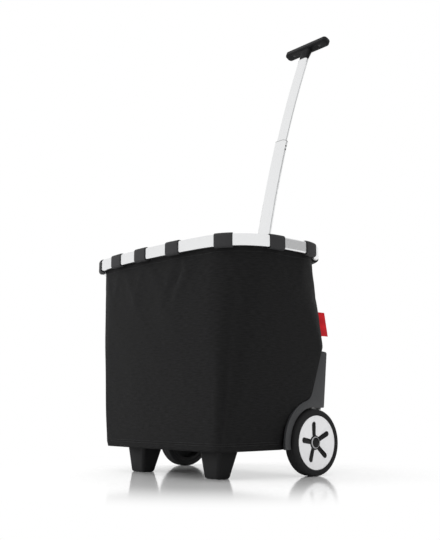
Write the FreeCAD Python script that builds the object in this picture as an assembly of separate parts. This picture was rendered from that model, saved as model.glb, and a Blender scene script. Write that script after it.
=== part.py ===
import FreeCAD, Part
import math
import os

# Wheeled shopping basket: a fabric bag hung in an aluminium rim, on a moulded chassis with two feet
# and two wheels, and a curved three-stage pull-out pole with a T grip.
# Millimetres. +Z up, +X the basket's right, +Y its back. The origin is on the floor, under the
# middle of the overall depth. Sizes named *_Y are measured from the rim's middle, and the whole
# model is moved to the origin when it is written.

V = FreeCAD.Vector
AXIS_X = V(1, 0, 0)
AXIS_Y = V(0, 1, 0)
AXIS_Z = V(0, 0, 1)

# Overall sizes, which the others follow
RIM_WIDTH = 511.2
RIM_FRONT_Y = -153.2
RIM_BACK_Y = 149.0
RIM_TOP_Z = 446.5
WHEEL_RADIUS = 64.0
AXLE_Z = WHEEL_RADIUS

# Rim: an oval band of hollow aluminium section
RIM_BAND = 23.4
RIM_THICK = 10.0
RIM_WALL = 1.6
RIM_EDGE_ROUND = 3.6
RIM_BOW = 1350.0
RIM_SIDE_BOW = 1500.0
RIM_CORNER = 110.0
JOINER_LENGTH = 56.0
JOINER_GAP = 0.05
RIVET_RADIUS = 2.0
RIVET_HEAD = 0.8
RIVET_GRIP = 4.0
RIVET_STEP = 11.0
SEAT_SINK = 0.5

# Webbing loops that hang the bag from the rim
LOOP_WIDTH = 36.0
LOOP_THICK = 1.4
LOOP_GAP = 0.1
FRONT_LOOPS = (-113.0, -24.0, 78.0)
CORNER_LOOP_SHARE = 0.28
SIDE_LOOPS = (-39.0, 59.0)
BACK_LOOP_X = 80.0

# Bag
BAG_BOTTOM_Z = AXLE_Z - 12.0
BAG_TOP_Z = RIM_TOP_Z - 18.5
BAG_RIM_INSET = 15.0
BAG_WALL = 2.5
BAG_BASE_WIDTH = RIM_WIDTH - 135.2
BAG_BASE_FRONT_Y = RIM_FRONT_Y + 26.2
BAG_BASE_BACK_Y = RIM_BACK_Y - 14.0
BAG_BASE_CORNER = 28.0
BAG_BASE_BOW = 4000.0
BAG_BASE_SIDE_BOW = 3000.0
WAIST_Z = 243.0
WAIST_BACK_Y = RIM_BACK_Y + 2.0
WAIST_BOW = 3000.0
WAIST_CORNER = 28.0
COVER_TOP_Z = RIM_TOP_Z - 100.5
COVER_BACK_Y = RIM_BACK_Y + 14.0
COVER_BOW = 850.0
COVER_CORNER = 102.0
BACK_PANEL_GAP = 0.5
BASE_FABRIC = 2.0
BASE_BOARD = 3.0
BOARD_GAP = 2.0
LABEL_LENGTH = 22.0
LABEL_HEIGHT = 48.0
LABEL_THICK = 1.2
LABEL_Z = 297.0
LABEL_GAP = 0.05
SEAM_REACH = 60.0

# Chassis
WHEEL_X = BAG_BASE_WIDTH / 2 + 7.0
WHEEL_Y = RIM_BACK_Y - 38.7
BEAM_FRONT_Y = WHEEL_Y - 14.3
BEAM_BACK_Y = WHEEL_Y + 13.7
BEAM_TOP_Z = AXLE_Z + 13.0
BACK_PANEL_FOOT_Y = BEAM_FRONT_Y + 3.0
TRAY_GAP = 0.3
TRAY_DEPTH = 7.7
TRAY_SKIN = 3.0
TRAY_RIB = 2.5
TRAY_RIB_PITCH = 60.0
TRAY_BACK_Y = BEAM_FRONT_Y - 1.0
BEAM_WALL = 3.0
BEAM_WEBS = (0.0, 45.0, 105.0)
BEAM_END_GAP = 0.2

# Feet
FOOT_X = BAG_BASE_WIDTH / 2 - 72.5
FOOT_Y = BAG_BASE_FRONT_Y + 64.6
FOOT_TOP_WIDTH = 57.0
FOOT_TOP_DEPTH = 52.0
FOOT_BASE_WIDTH = 42.0
FOOT_BASE_DEPTH = 31.0
FOOT_LEAN = 5.5
FOOT_ROUND = 7.0
FOOT_EDGE_ROUND = 5.5

# Wheels and axle
WHEEL_WIDTH = 30.0
TYRE_SEAT = WHEEL_RADIUS - 12.0
TYRE_SEAT_CHAMFER = 2.5
TYRE_SHOULDER = 6.0
DISC_EDGE = TYRE_SEAT - 3.0
DISC_RIM = 6.0
DISC_DISH = 4.5
DISC_SKIN = 3.0
HUB_RADIUS = 13.0
HUB_POCKET = 11.2
HUB_FACE = 3.5
HUB_INNER_END = 1.5
BUSH_RADIUS = 8.0
BUSH_LENGTH = 8.0
BUSH_FLANGE = 10.0
BUSH_LIP_THICK = 1.0
AXLE_RADIUS = 5.0
AXLE_GAP = 0.05
AXLE_END = 2.0
CLIP_THICK = 1.5
CLIP_GAP = 0.4
SPACER_GAP = 0.3
STAR_CORE = 14.0
STAR_REACH = DISC_EDGE - 8.5
STAR_ROOT = 4.2
STAR_TIP = 5.3
STAR_FRAME = 3.0
STAR_TURN = 99.0
STAR_DEPTH = 1.6
STAR_PROUD = 0.5
CAP_RADIUS = 11.5
CAP_THICK = 2.0
CAP_CHAMFER = 1.5

# Wheel arches
ARCH_OUTER_X = WHEEL_X + 7.0
ARCH_INNER_X = WHEEL_X - 25.0
ARCH_CLEAR = 4.0
ARCH_ROOF = 3.5
ARCH_FLANGE = 14.7
ARCH_FLANGE_THICK = 5.0
ARCH_WALL = 3.0
TAIL_THICK = 13.0
TAIL_TOP_Z = WAIST_Z
TAIL_TOP_Y = WHEEL_Y + 26.7
TAIL_TOP_WIDTH = 15.0
TAIL_TOP_DROP = 2.0
TAIL_LEAN = 20.4
TAIL_HEEL_Y = WHEEL_Y + 29.7
TAIL_HEEL_Z = AXLE_Z + WHEEL_RADIUS + 3.0
TAIL_FILLET = 25.0
TAIL_ROUND = 4.0

# Pole: three oval tubes bent to one large circle in the plane X = 0, so that they slide in each other
POLE_BEND = 2830.0
POLE_CENTRE_Y = RIM_BACK_Y + 2795.0
POLE_CENTRE_Z = -87.0
TUBE_WALL = 1.2
OUTER_TUBE = (41.0, 22.0)
MIDDLE_TUBE = (35.0, 17.0)
INNER_TUBE = (28.8, 12.6)
OUTER_FOOT_Z = BEAM_TOP_Z - 5.0
OUTER_TOP_Z = RIM_TOP_Z - 30.5
MIDDLE_TOP_Z = OUTER_TOP_Z + 336.0
INNER_TOP_Z = MIDDLE_TOP_Z + 233.0
POLE_OVERLAP = 45.0
SLIDE_GAP = 0.35
BUSH_DEPTH = 30.0
BUSH_LIP = 1.0
STUD_RADIUS = 2.2
STUD_DROPS = (13.0, 22.5)
SHOE_LENGTH = 12.0
SHOE_SPIGOT = 14.0
SPIGOT_GAP = 0.1
STUD_SINK = 0.3
TOWER_WALL = 3.2
TOWER_TOP_Z = BEAM_TOP_Z + 35.0
BRACKET_HEIGHT = 30.0
BRACKET_WALL = 4.0
BRACKET_DROP = 2.0
BRACKET_EAR_X = (22.0, 36.0)
BRACKET_EAR_THICK = 5.0
BRACKET_EAR_DROP = 4.0
BRACKET_GAP = 0.3

# Grip
GRIP_Z = INNER_TOP_Z + 35.0
GRIP_LENGTH = 134.0
GRIP_DEPTH = 24.0
GRIP_THICK = 15.0
GRIP_END_ROUND = 9.0
GRIP_EDGE_ROUND = 4.0
GRIP_SPLIT = 3.0
STEM_TOP = (34.0, 17.0)
STEM_FOOT = (25.0, 11.6)
STEM_PLUG = 24.0
STEM_SEAT_GAP = 0.25
GRIP_SCREW_X = (-42.0, 42.0)
BUTTON = (24.0, 11.0)
BUTTON_GAP = 0.35
BUTTON_PROUD = 2.0
BUTTON_TRAVEL = 2.5
BUTTON_FOOT = 0.5
BUTTON_SPARE = 1.0
BUTTON_ROUND = 1.2
ROD_RADIUS = 1.8
ROD_HOLE = 3.1

# Screws
SCREW_RADIUS = 1.8
SCREW_HEAD_RADIUS = 3.6
SCREW_HEAD = 2.2
SCREW_LENGTH = 12.0
HEAD_GAP = 0.1
FOOT_SCREW_STEPS = (-14.0, 14.0)
BEAM_SCREW_X = (-130.0, -60.0, 60.0, 130.0)
BEAM_SCREW_SPARE = 1.0
SOCKET_SCREW_SPARE = 1.0
BRACKET_SCREW_SPARE = 2.0
GRIP_SCREW_SINK = 0.3

HUB_INNER_X = HUB_INNER_END - WHEEL_WIDTH / 2


# ---- plane outlines ----

def rounded_wire(centre, u, v, width, height, radius):
    """A rounded rectangle about a centre, in the plane of the unit vectors u and v."""
    half_u = width / 2 - radius
    half_v = height / 2 - radius
    signs = ((1, 1), (-1, 1), (-1, -1), (1, -1))

    def on_arc(index, turn):
        sign_u, sign_v = signs[index % 4]
        a = sign_u * half_u + radius * math.cos(turn)
        b = sign_v * half_v + radius * math.sin(turn)
        return centre + u * a + v * b

    edges = []
    for index in range(4):
        turn = index * math.pi / 2
        points = [on_arc(index, turn + step * math.pi / 4) for step in range(3)]
        edges.append(Part.Arc(*points).toShape())
        following = on_arc(index + 1, turn + math.pi / 2)
        if (following - points[2]).Length > 1e-6:
            edges.append(Part.makeLine(points[2], following))
    return Part.Wire(edges)


def plane_face(wires):
    """A face inside the first outline and, where there is a second, outside that one."""
    return Part.makeFace(wires, "Part::FaceMakerBullseye")


def oval(centre, size, grow=0.0):
    """A flat-sided oval, wide along X and deep along Y."""
    width = size[0] + 2 * grow
    depth = size[1] + 2 * grow
    return rounded_wire(centre, AXIS_X, AXIS_Y, width, depth, depth / 2 - 1e-4)


def tangent_corner(half_width, half_depth, bow, side_bow, corner):
    """Centre of the corner circle that touches a bow and a side arc from inside."""
    bow_y = half_depth - bow
    side_x = half_width - side_bow
    apart = math.hypot(side_x, bow_y)
    to_bow = bow - corner
    to_side = side_bow - corner
    along = (apart ** 2 + to_bow ** 2 - to_side ** 2) / (2 * apart)
    off = math.sqrt(to_bow ** 2 - along ** 2)
    ux = side_x / apart
    uy = -bow_y / apart
    choices = [(ux * along - uy * off * s, bow_y + uy * along + ux * off * s) for s in (1, -1)]
    return max(choices, key=sum)


class Outline:
    """A closed plan outline of tangent arcs, listed anticlockwise from the middle of the front."""

    def __init__(self, width, front_y, back_y, side_bow, front_bow, back_bow, corner, back_corner):
        half = width / 2
        middle = (front_y + back_y) / 2
        depth = (back_y - front_y) / 2
        front_x, front_cy = tangent_corner(half, depth, front_bow, side_bow, corner)
        back_x, back_cy = tangent_corner(half, depth, back_bow, side_bow, back_corner)
        quarter = math.pi / 2
        front_turn = math.atan2(front_cy - depth + front_bow, front_x)
        front_side = math.atan2(front_cy, front_x - half + side_bow)
        back_turn = math.atan2(back_cy - depth + back_bow, back_x)
        back_side = math.atan2(back_cy, back_x - half + side_bow)
        front_y0 = middle - depth + front_bow
        back_y0 = middle + depth - back_bow
        side_x = half - side_bow
        self.corners = {"front": (front_x, middle - front_cy, corner),
                        "back": (back_x, middle + back_cy, back_corner)}
        self.arcs = [
            (0, front_y0, front_bow, -quarter, -front_turn),
            (front_x, middle - front_cy, corner, -front_turn, -front_side),
            (side_x, middle, side_bow, -front_side, 0),
            (side_x, middle, side_bow, 0, back_side),
            (back_x, middle + back_cy, back_corner, back_side, back_turn),
            (0, back_y0, back_bow, back_turn, math.pi - back_turn),
            (-back_x, middle + back_cy, back_corner, math.pi - back_turn, math.pi - back_side),
            (-side_x, middle, side_bow, math.pi - back_side, math.pi),
            (-side_x, middle, side_bow, math.pi, math.pi + front_side),
            (-front_x, middle - front_cy, corner, math.pi + front_side, math.pi + front_turn),
            (0, front_y0, front_bow, math.pi + front_turn, 3 * quarter)]

    def wire(self, z, inset=0.0):
        edges = []
        for x, y, radius, start, end in self.arcs:
            r = radius - inset
            turns = (start, (start + end) / 2, end)
            points = [V(x + r * math.cos(t), y + r * math.sin(t), z) for t in turns]
            edges.append(Part.Arc(*points).toShape())
        return Part.Wire(edges)

    def length(self, index):
        radius, start, end = self.arcs[index][2:]
        return radius * (end - start)

    def walk(self, distance):
        """The point and outward direction at a distance round the outline from the front's middle."""
        order = range(len(self.arcs))
        if distance < 0:
            order = reversed(order)
        left = abs(distance)
        for index in order:
            if left <= self.length(index):
                break
            left -= self.length(index)
        x, y, radius, start, end = self.arcs[index]
        turn = start + left / radius if distance >= 0 else end - left / radius
        return V(x + radius * math.cos(turn), y + radius * math.sin(turn), 0), turn

    def seam(self, end, side, reach=0.0):
        """The middle of a corner, moved out along its diagonal by reach."""
        x, y, radius = self.corners[end]
        step = (radius + reach) * math.sqrt(0.5)
        along_y = step if end == "back" else -step
        return V(side * (x + step), y + along_y, 0)


# ---- small tools ----

def box(low, high):
    return Part.makeBox(high[0] - low[0], high[1] - low[1], high[2] - low[2], V(*low))


def joined(shapes):
    return shapes[0].fuse(shapes[1:]).removeSplitter() if len(shapes) > 1 else shapes[0]


def rod_x(radius, x0, x1, y, z):
    return Part.makeCylinder(radius, x1 - x0, V(x0, y, z), AXIS_X)


def both_sides(shape):
    return shape, shape.mirror(V(0, 0, 0), AXIS_X)


def swept(section, arc, inset_radius):
    """Turn a section, drawn in the XZ plane at its radius, along one arc of an outline."""
    x, y, radius, start, end = arc
    section = section(radius - inset_radius)
    solid = section.revolve(V(0, 0, 0), AXIS_Z, math.degrees(end - start))
    solid.rotate(V(0, 0, 0), AXIS_Z, math.degrees(start))
    solid.translate(V(x, y, 0))
    return solid


# ---- rim ----

RIM = Outline(RIM_WIDTH, RIM_FRONT_Y, RIM_BACK_Y, RIM_SIDE_BOW, RIM_BOW, RIM_BOW,
              RIM_CORNER, RIM_CORNER)
RIM_MID_Z = RIM_TOP_Z - RIM_BAND / 2
BACK_RAIL_ARCS = RIM.arcs[3:8]
FRONT_RAIL_ARCS = RIM.arcs[8:] + RIM.arcs[:3]


def rim_section(grow_outer, grow_inner=None):
    """The rim's section, or a ring round it, as a face at a given radius."""
    def face(radius):
        centre = V(radius, 0, RIM_MID_Z)
        wires = []
        for grow in (grow_outer, grow_inner):
            if grow is not None:
                round_off = max(RIM_EDGE_ROUND + grow, 0.5)
                wires.append(rounded_wire(centre, AXIS_X, AXIS_Z, RIM_THICK + 2 * grow,
                                          RIM_BAND + 2 * grow, round_off))
        return plane_face(wires)
    return face


def rail(arcs):
    hollow = rim_section(0.0, -RIM_WALL)
    return joined([swept(hollow, arc, RIM_THICK / 2) for arc in arcs])


def joiner(side):
    """The solid insert that joins the two rails at the middle of a side."""
    x, y, radius, start, end = RIM.arcs[2] if side > 0 else RIM.arcs[8]
    half = JOINER_LENGTH / 2 / radius
    middle = 0.0 if side > 0 else math.pi
    solid = rim_section(-RIM_WALL - JOINER_GAP)
    return swept(solid, (x, y, radius, middle - half, middle + half), RIM_THICK / 2)


def rivets():
    """Blind rivets from inside the rim into the joiners, two on each side of each joint."""
    reach = RIM_WIDTH / 2 - RIM_THICK
    solids = []
    for side in (1, -1):
        for step in (-RIVET_STEP, RIVET_STEP):
            y = (RIM_FRONT_Y + RIM_BACK_Y) / 2 + step
            shank = Part.makeCylinder(RIVET_RADIUS, RIM_WALL + RIVET_GRIP,
                                      V(side * reach, y, RIM_MID_Z), V(side, 0, 0))
            head = Part.makeCylinder(RIVET_RADIUS * 2, RIVET_HEAD + SEAT_SINK,
                                     V(side * (reach - RIVET_HEAD), y, RIM_MID_Z), V(side, 0, 0))
            solids.append(shank.fuse(head).removeSplitter())
    return solids


def loop_stations():
    """Distances of the loops round the rim, from the middle of the front."""
    corner = RIM.length(0) + CORNER_LOOP_SHARE * RIM.length(1)
    side_middle = sum(RIM.length(index) for index in range(3))
    half_way = sum(RIM.length(index) for index in range(5)) + RIM.length(5) / 2
    right = [corner] + [side_middle + step for step in SIDE_LOOPS]
    right += [half_way - corner, half_way - BACK_LOOP_X]
    return list(FRONT_LOOPS) + right + [-distance for distance in right]


def loops():
    band = rim_section(LOOP_GAP + LOOP_THICK, LOOP_GAP)
    pieces = [swept(band, arc, RIM_THICK / 2) for arc in RIM.arcs]
    solids = []
    for distance in loop_stations():
        point, turn = RIM.walk(distance)
        cutter = box((-RIM_THICK * 3, -LOOP_WIDTH / 2, RIM_MID_Z - RIM_BAND),
                     (RIM_THICK, LOOP_WIDTH / 2, RIM_MID_Z + RIM_BAND))
        cutter.rotate(V(0, 0, 0), AXIS_Z, math.degrees(turn))
        cutter.translate(point)
        parts = [piece.common(cutter) for piece in pieces
                 if piece.BoundBox.intersect(cutter.BoundBox)]
        solids.append(joined([part for part in parts if part.Volume > 1.0]))
    return solids


# ---- pole geometry ----

def pole_angle(z):
    return math.asin((z - POLE_CENTRE_Z) / POLE_BEND)


def pole_y(z):
    return POLE_CENTRE_Y - POLE_BEND * math.cos(pole_angle(z))


def along_pole(wires, low, high):
    """Turn an oval face along the pole's circle between two angles."""
    solid = plane_face(wires).revolve(POLE_CENTRE, -AXIS_X, math.degrees(high - low))
    solid.rotate(POLE_CENTRE, -AXIS_X, math.degrees(low))
    return solid


POLE_CENTRE = V(0, POLE_CENTRE_Y, POLE_CENTRE_Z)
SECTION_CENTRE = V(0, POLE_CENTRE_Y - POLE_BEND, POLE_CENTRE_Z)
OUTER_FOOT = pole_angle(OUTER_FOOT_Z)
OUTER_TOP = pole_angle(OUTER_TOP_Z)
MIDDLE_TOP = pole_angle(MIDDLE_TOP_Z)
INNER_TOP = pole_angle(INNER_TOP_Z)
MIDDLE_FOOT = OUTER_TOP - POLE_OVERLAP / POLE_BEND
INNER_FOOT = MIDDLE_TOP - POLE_OVERLAP / POLE_BEND


def tube(size, low, high):
    outer = oval(SECTION_CENTRE, size)
    inner = oval(SECTION_CENTRE, size, -TUBE_WALL)
    return along_pole([outer, inner], low, high)


def filled(size, low, high, grow=0.0):
    return along_pole([oval(SECTION_CENTRE, size, grow)], low, high)


def guide_bush(tube_size, slider_size, top):
    """The plastic guide in a tube's mouth, with a thin lip that closes the tube's cut end."""
    hole = oval(SECTION_CENTRE, slider_size, SLIDE_GAP)
    sleeve = along_pole([oval(SECTION_CENTRE, tube_size, -TUBE_WALL), hole],
                        top - BUSH_DEPTH / POLE_BEND, top)
    lip = along_pole([oval(SECTION_CENTRE, tube_size), hole], top, top + BUSH_LIP / POLE_BEND)
    return sleeve.fuse(lip).removeSplitter()


def shoe(tube_size, bore_size, foot):
    """The plastic shoe that guides a tube's lower end inside the next tube."""
    below = foot - SHOE_LENGTH / POLE_BEND
    body = filled(bore_size, below, foot, -TUBE_WALL - SLIDE_GAP)
    spigot = filled(tube_size, foot, foot + SHOE_SPIGOT / POLE_BEND, -TUBE_WALL - SPIGOT_GAP)
    bore = filled((2 * ROD_HOLE, 2 * ROD_HOLE), below - 0.001, foot + 0.01)
    return body.fuse(spigot).removeSplitter().cut(bore)


def studs(tube_size, top):
    """Studs on the guide bush that snap through the tube's narrow sides and hold the bush."""
    reach = tube_size[0] / 2
    solids = []
    for drop in STUD_DROPS:
        turn = top - drop / POLE_BEND
        y = POLE_CENTRE_Y - POLE_BEND * math.cos(turn)
        z = POLE_CENTRE_Z + POLE_BEND * math.sin(turn)
        for x0 in (reach - TUBE_WALL - STUD_SINK, -reach):
            solids.append(rod_x(STUD_RADIUS, x0, x0 + TUBE_WALL + STUD_SINK, y, z))
    return solids


# ---- wheel arches ----

ARCH_BORE = WHEEL_RADIUS + ARCH_CLEAR
ARCH_OUTSIDE = ARCH_BORE + ARCH_FLANGE
ARCH_FOOT_Z = BAG_BOTTOM_Z + TRAY_GAP


def on_circle(radius, turn, x=0.0):
    return V(x, WHEEL_Y + radius * math.cos(turn), AXLE_Z + radius * math.sin(turn))


def at_height(radius, z):
    """The angle, in front of the wheel, where a circle about the axle is at height z."""
    return math.pi - math.asin((z - AXLE_Z) / radius)


def rounded_corner(before, corner, after, radius):
    """Start, middle and end of an arc that rounds one corner of an outline."""
    back = (before - corner).normalize()
    on = (after - corner).normalize()
    half = math.acos(max(-1.0, min(1.0, back.dot(on)))) / 2
    middle_way = (back + on).normalize()
    centre = corner + middle_way * (radius / math.sin(half))
    reach = radius / math.tan(half)
    return corner + back * reach, centre - middle_way * radius, corner + on * reach


def tail_points():
    lean = math.radians(TAIL_LEAN)
    up = V(0, math.sin(lean), math.cos(lean))
    top_front = V(0, TAIL_TOP_Y, TAIL_TOP_Z)
    top_back = V(0, TAIL_TOP_Y + TAIL_TOP_WIDTH, TAIL_TOP_Z - TAIL_TOP_DROP)
    heel = V(0, TAIL_HEEL_Y, TAIL_HEEL_Z)
    return up, top_front, top_back, heel


def arch_face():
    """The side view of an arch's outer flange and tail, in the plane X = 0."""
    up, top_front, top_back, heel = tail_points()
    axle = V(0, WHEEL_Y, AXLE_Z)
    left = V(0, -up.z, up.y)
    offset = (top_front - axle).dot(left)
    across = offset + TAIL_FILLET
    reach = math.sqrt((ARCH_OUTSIDE + TAIL_FILLET) ** 2 - across ** 2)
    fillet_centre = axle + left * across + up * reach
    fillet_start = axle + (fillet_centre - axle) * (ARCH_OUTSIDE / (ARCH_OUTSIDE + TAIL_FILLET))
    fillet_end = fillet_centre - left * TAIL_FILLET
    way = (fillet_start - fillet_centre).normalize() + (fillet_end - fillet_centre).normalize()
    fillet_middle = fillet_centre + way.normalize() * TAIL_FILLET

    start_turn = at_height(ARCH_OUTSIDE, ARCH_FOOT_Z)
    inside_turn = at_height(ARCH_BORE, ARCH_FOOT_Z)
    end_turn = math.atan2(fillet_start.z - AXLE_Z, fillet_start.y - WHEEL_Y)
    lip_turn = math.acos((heel.y - ARCH_FLANGE - WHEEL_Y) / ARCH_BORE)
    middle_turn = (start_turn + end_turn) / 2
    start = on_circle(ARCH_OUTSIDE, start_turn)
    lip = on_circle(ARCH_BORE, lip_turn)
    front = rounded_corner(fillet_end, top_front, top_back, TAIL_ROUND)
    back = rounded_corner(top_front, top_back, heel, TAIL_ROUND)
    foot = rounded_corner(top_back, heel, lip, TAIL_ROUND / 2)
    edges = [
        Part.Arc(start, on_circle(ARCH_OUTSIDE, middle_turn), fillet_start).toShape(),
        Part.Arc(fillet_start, fillet_middle, fillet_end).toShape(),
        Part.makeLine(fillet_end, front[0]),
        Part.Arc(*front).toShape(),
        Part.makeLine(front[2], back[0]),
        Part.Arc(*back).toShape(),
        Part.makeLine(back[2], foot[0]),
        Part.Arc(*foot).toShape(),
        Part.makeLine(foot[2], lip),
        Part.Arc(lip, on_circle(ARCH_BORE, (lip_turn + inside_turn) / 2),
                 on_circle(ARCH_BORE, inside_turn)).toShape(),
        Part.makeLine(on_circle(ARCH_BORE, inside_turn), start)]
    return Part.Face(Part.Wire(edges))


def extruded(face, x0, x1):
    moved = face.copy()
    moved.translate(V(x0, 0, 0))
    return moved.extrude(V(x1 - x0, 0, 0))


def tail_region():
    """Everything above and behind the wheel, where the arch is as thick as its tail."""
    low = WHEEL_Y - TAIL_FILLET
    high = AXLE_Z + ARCH_OUTSIDE
    return box((0, low, high), (ARCH_OUTER_X * 2, RIM_BACK_Y * 2, RIM_TOP_Z)).fuse(
        box((0, TAIL_HEEL_Y - ARCH_FLANGE, AXLE_Z + ARCH_BORE / 2),
            (ARCH_OUTER_X * 2, RIM_BACK_Y * 2, RIM_TOP_Z)))


def arch():
    """The right wheel arch: a roof, an inner wall, an outer flange and the tail behind the bag."""
    face = arch_face()
    flange = extruded(face, ARCH_OUTER_X - ARCH_FLANGE_THICK, ARCH_OUTER_X)
    tail = extruded(face, ARCH_OUTER_X - TAIL_THICK, ARCH_OUTER_X).common(tail_region())
    outside = ARCH_BORE + ARCH_ROOF
    roof = rod_x(outside, ARCH_INNER_X, ARCH_OUTER_X - ARCH_FLANGE_THICK, WHEEL_Y, AXLE_Z)
    roof = roof.cut(rod_x(ARCH_BORE, ARCH_INNER_X + ARCH_WALL, ARCH_OUTER_X, WHEEL_Y, AXLE_Z))
    keep_wall = box((ARCH_INNER_X, WHEEL_Y - outside, ARCH_FOOT_Z),
                    (ARCH_INNER_X + ARCH_WALL, BEAM_BACK_Y, AXLE_Z + outside))
    keep_roof = box((ARCH_INNER_X, WHEEL_Y - outside, ARCH_FOOT_Z),
                    (ARCH_OUTER_X, TAIL_HEEL_Y - TAIL_ROUND, AXLE_Z + outside))
    shell = roof.common(keep_roof.fuse(keep_wall))
    hole = rod_x(AXLE_RADIUS + AXLE_GAP, 0, ARCH_OUTER_X, WHEEL_Y, AXLE_Z)
    return joined([shell, flange, tail]).cut(hole)


def arch_space():
    """The space in the right side of the bag that the arch takes."""
    radius = ARCH_OUTSIDE + TRAY_GAP
    drum = rod_x(radius, ARCH_INNER_X - TRAY_GAP, RIM_WIDTH, WHEEL_Y, AXLE_Z)
    face = arch_face().makeOffset2D(TRAY_GAP)
    tail = extruded(face, ARCH_OUTER_X - TAIL_THICK - TRAY_GAP, RIM_WIDTH)
    return drum.fuse(tail)


# ---- bag ----

def between(low, high, share):
    return low + (high - low) * share


BACKS = ((BAG_BOTTOM_Z, BAG_BASE_BACK_Y, BAG_BASE_BOW, BAG_BASE_CORNER),
         (WAIST_Z, WAIST_BACK_Y, WAIST_BOW, WAIST_CORNER),
         (COVER_TOP_Z, COVER_BACK_Y, COVER_BOW, COVER_CORNER),
         (BAG_TOP_Z, RIM_BACK_Y - BAG_RIM_INSET, RIM_BOW - BAG_RIM_INSET, RIM_CORNER - BAG_RIM_INSET))


def bag_outline(z):
    """The bag's outside at a height: straight taper at the front and sides, bulging over the pole."""
    share = (z - BAG_BOTTOM_Z) / (BAG_TOP_Z - BAG_BOTTOM_Z)
    width = between(BAG_BASE_WIDTH, RIM_WIDTH - 2 * BAG_RIM_INSET, share)
    front = between(BAG_BASE_FRONT_Y, RIM_FRONT_Y + BAG_RIM_INSET, share)
    side_bow = between(BAG_BASE_SIDE_BOW, RIM_SIDE_BOW - BAG_RIM_INSET, share)
    front_bow = between(BAG_BASE_BOW, RIM_BOW - BAG_RIM_INSET, share)
    corner = between(BAG_BASE_CORNER, RIM_CORNER - BAG_RIM_INSET, share)
    below, above = [pair for pair in zip(BACKS, BACKS[1:]) if pair[0][0] <= z][-1]
    rise = (z - below[0]) / (above[0] - below[0])
    back, back_bow, back_corner = [between(a, b, rise) for a, b in zip(below[1:], above[1:])]
    return Outline(width, front, back, side_bow, front_bow, back_bow, corner, back_corner)


BAG_LEVELS = (BAG_BOTTOM_Z, WAIST_Z, COVER_TOP_Z, BAG_TOP_Z)


def bag_volume(inset):
    wires = [bag_outline(z).wire(z, inset) for z in BAG_LEVELS]
    return Part.makeLoft(wires, True, True)


def wedge(end):
    """The part of the bag's plan between its two front or two back corner seams."""
    wires = []
    for z in BAG_LEVELS:
        outline = bag_outline(z)
        inward = -outline.corners[end][2] - SEAM_REACH
        points = [outline.seam(end, 1, SEAM_REACH), outline.seam(end, -1, SEAM_REACH),
                  outline.seam(end, -1, inward), outline.seam(end, 1, inward)]
        lifted = [point + AXIS_Z * z for point in points]
        wires.append(Part.makePolygon(lifted + lifted[:1]))
    return Part.makeLoft(wires, True, True)


def biggest(shape):
    return max(shape.Solids, key=lambda solid: solid.Volume)


def bag_panels():
    shell = bag_volume(0.0).cut(bag_volume(BAG_WALL))
    front_wedge = wedge("front")
    back_wedge = wedge("back")
    space = joined(list(both_sides(arch_space())))
    sides = shell.cut(front_wedge).cut(back_wedge).cut(space)
    right_half = box((0, -RIM_WIDTH, 0), (RIM_WIDTH, RIM_WIDTH, RIM_TOP_Z))
    left_half = box((-RIM_WIDTH, -RIM_WIDTH, 0), (0, RIM_WIDTH, RIM_TOP_Z))
    below_cover = box((-RIM_WIDTH, 0, 0), (RIM_WIDTH, RIM_WIDTH, COVER_TOP_Z))
    return {"bag_front": biggest(shell.common(front_wedge)),
            "bag_right_side": biggest(sides.common(right_half)),
            "bag_left_side": biggest(sides.common(left_half)),
            "bag_rear_cover": biggest(shell.common(back_wedge).common(below_cover).cut(space))}


def bag_back():
    """The wall between the bag's inside and the pole, from side panel to side panel."""
    foot = V(0, BACK_PANEL_FOOT_Y, BEAM_TOP_Z + BACK_PANEL_GAP)
    head = V(0, RIM_BACK_Y - BAG_RIM_INSET - BACK_PANEL_GAP, BAG_TOP_Z)
    thick = V(0, -BAG_WALL, 0)
    outline = Part.makePolygon([foot, head, head + thick, foot + thick, foot])
    slab = extruded(Part.Face(outline), -RIM_WIDTH / 2, RIM_WIDTH / 2)
    panel = slab.common(bag_volume(BAG_WALL + BACK_PANEL_GAP))
    return biggest(panel.cut(joined(list(both_sides(arch_space())))))


def arch_notches(clear):
    """What the wheel arches' roofs take out of the flat pieces at the bottom of the bag."""
    radius = ARCH_BORE + ARCH_ROOF + clear
    return joined(list(both_sides(rod_x(radius, ARCH_INNER_X - clear, RIM_WIDTH, WHEEL_Y, AXLE_Z))))


def flat_layer(z0, z1, inset, back_y):
    """A flat layer that fills the bottom of the bag as far back as back_y."""
    wire = bag_outline(BAG_BOTTOM_Z).wire(z0, inset)
    layer = Part.Face(wire).extrude(AXIS_Z * (z1 - z0))
    return layer.common(box((-RIM_WIDTH, -RIM_WIDTH, 0), (RIM_WIDTH, back_y, RIM_TOP_Z)))


TRAY_TOP_Z = BAG_BOTTOM_Z + TRAY_GAP + TRAY_DEPTH
FLOOR_BACK_Y = BACK_PANEL_FOOT_Y - BAG_WALL - 2 * BACK_PANEL_GAP


def bag_bottom():
    layer = flat_layer(TRAY_TOP_Z, TRAY_TOP_Z + BASE_FABRIC, BAG_WALL + TRAY_GAP, FLOOR_BACK_Y)
    return biggest(layer.cut(arch_notches(TRAY_GAP)))


def base_board():
    low = TRAY_TOP_Z + BASE_FABRIC
    layer = flat_layer(low, low + BASE_BOARD, BAG_WALL + BOARD_GAP, FLOOR_BACK_Y - BOARD_GAP)
    return biggest(layer.cut(arch_notches(BOARD_GAP)))


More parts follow.
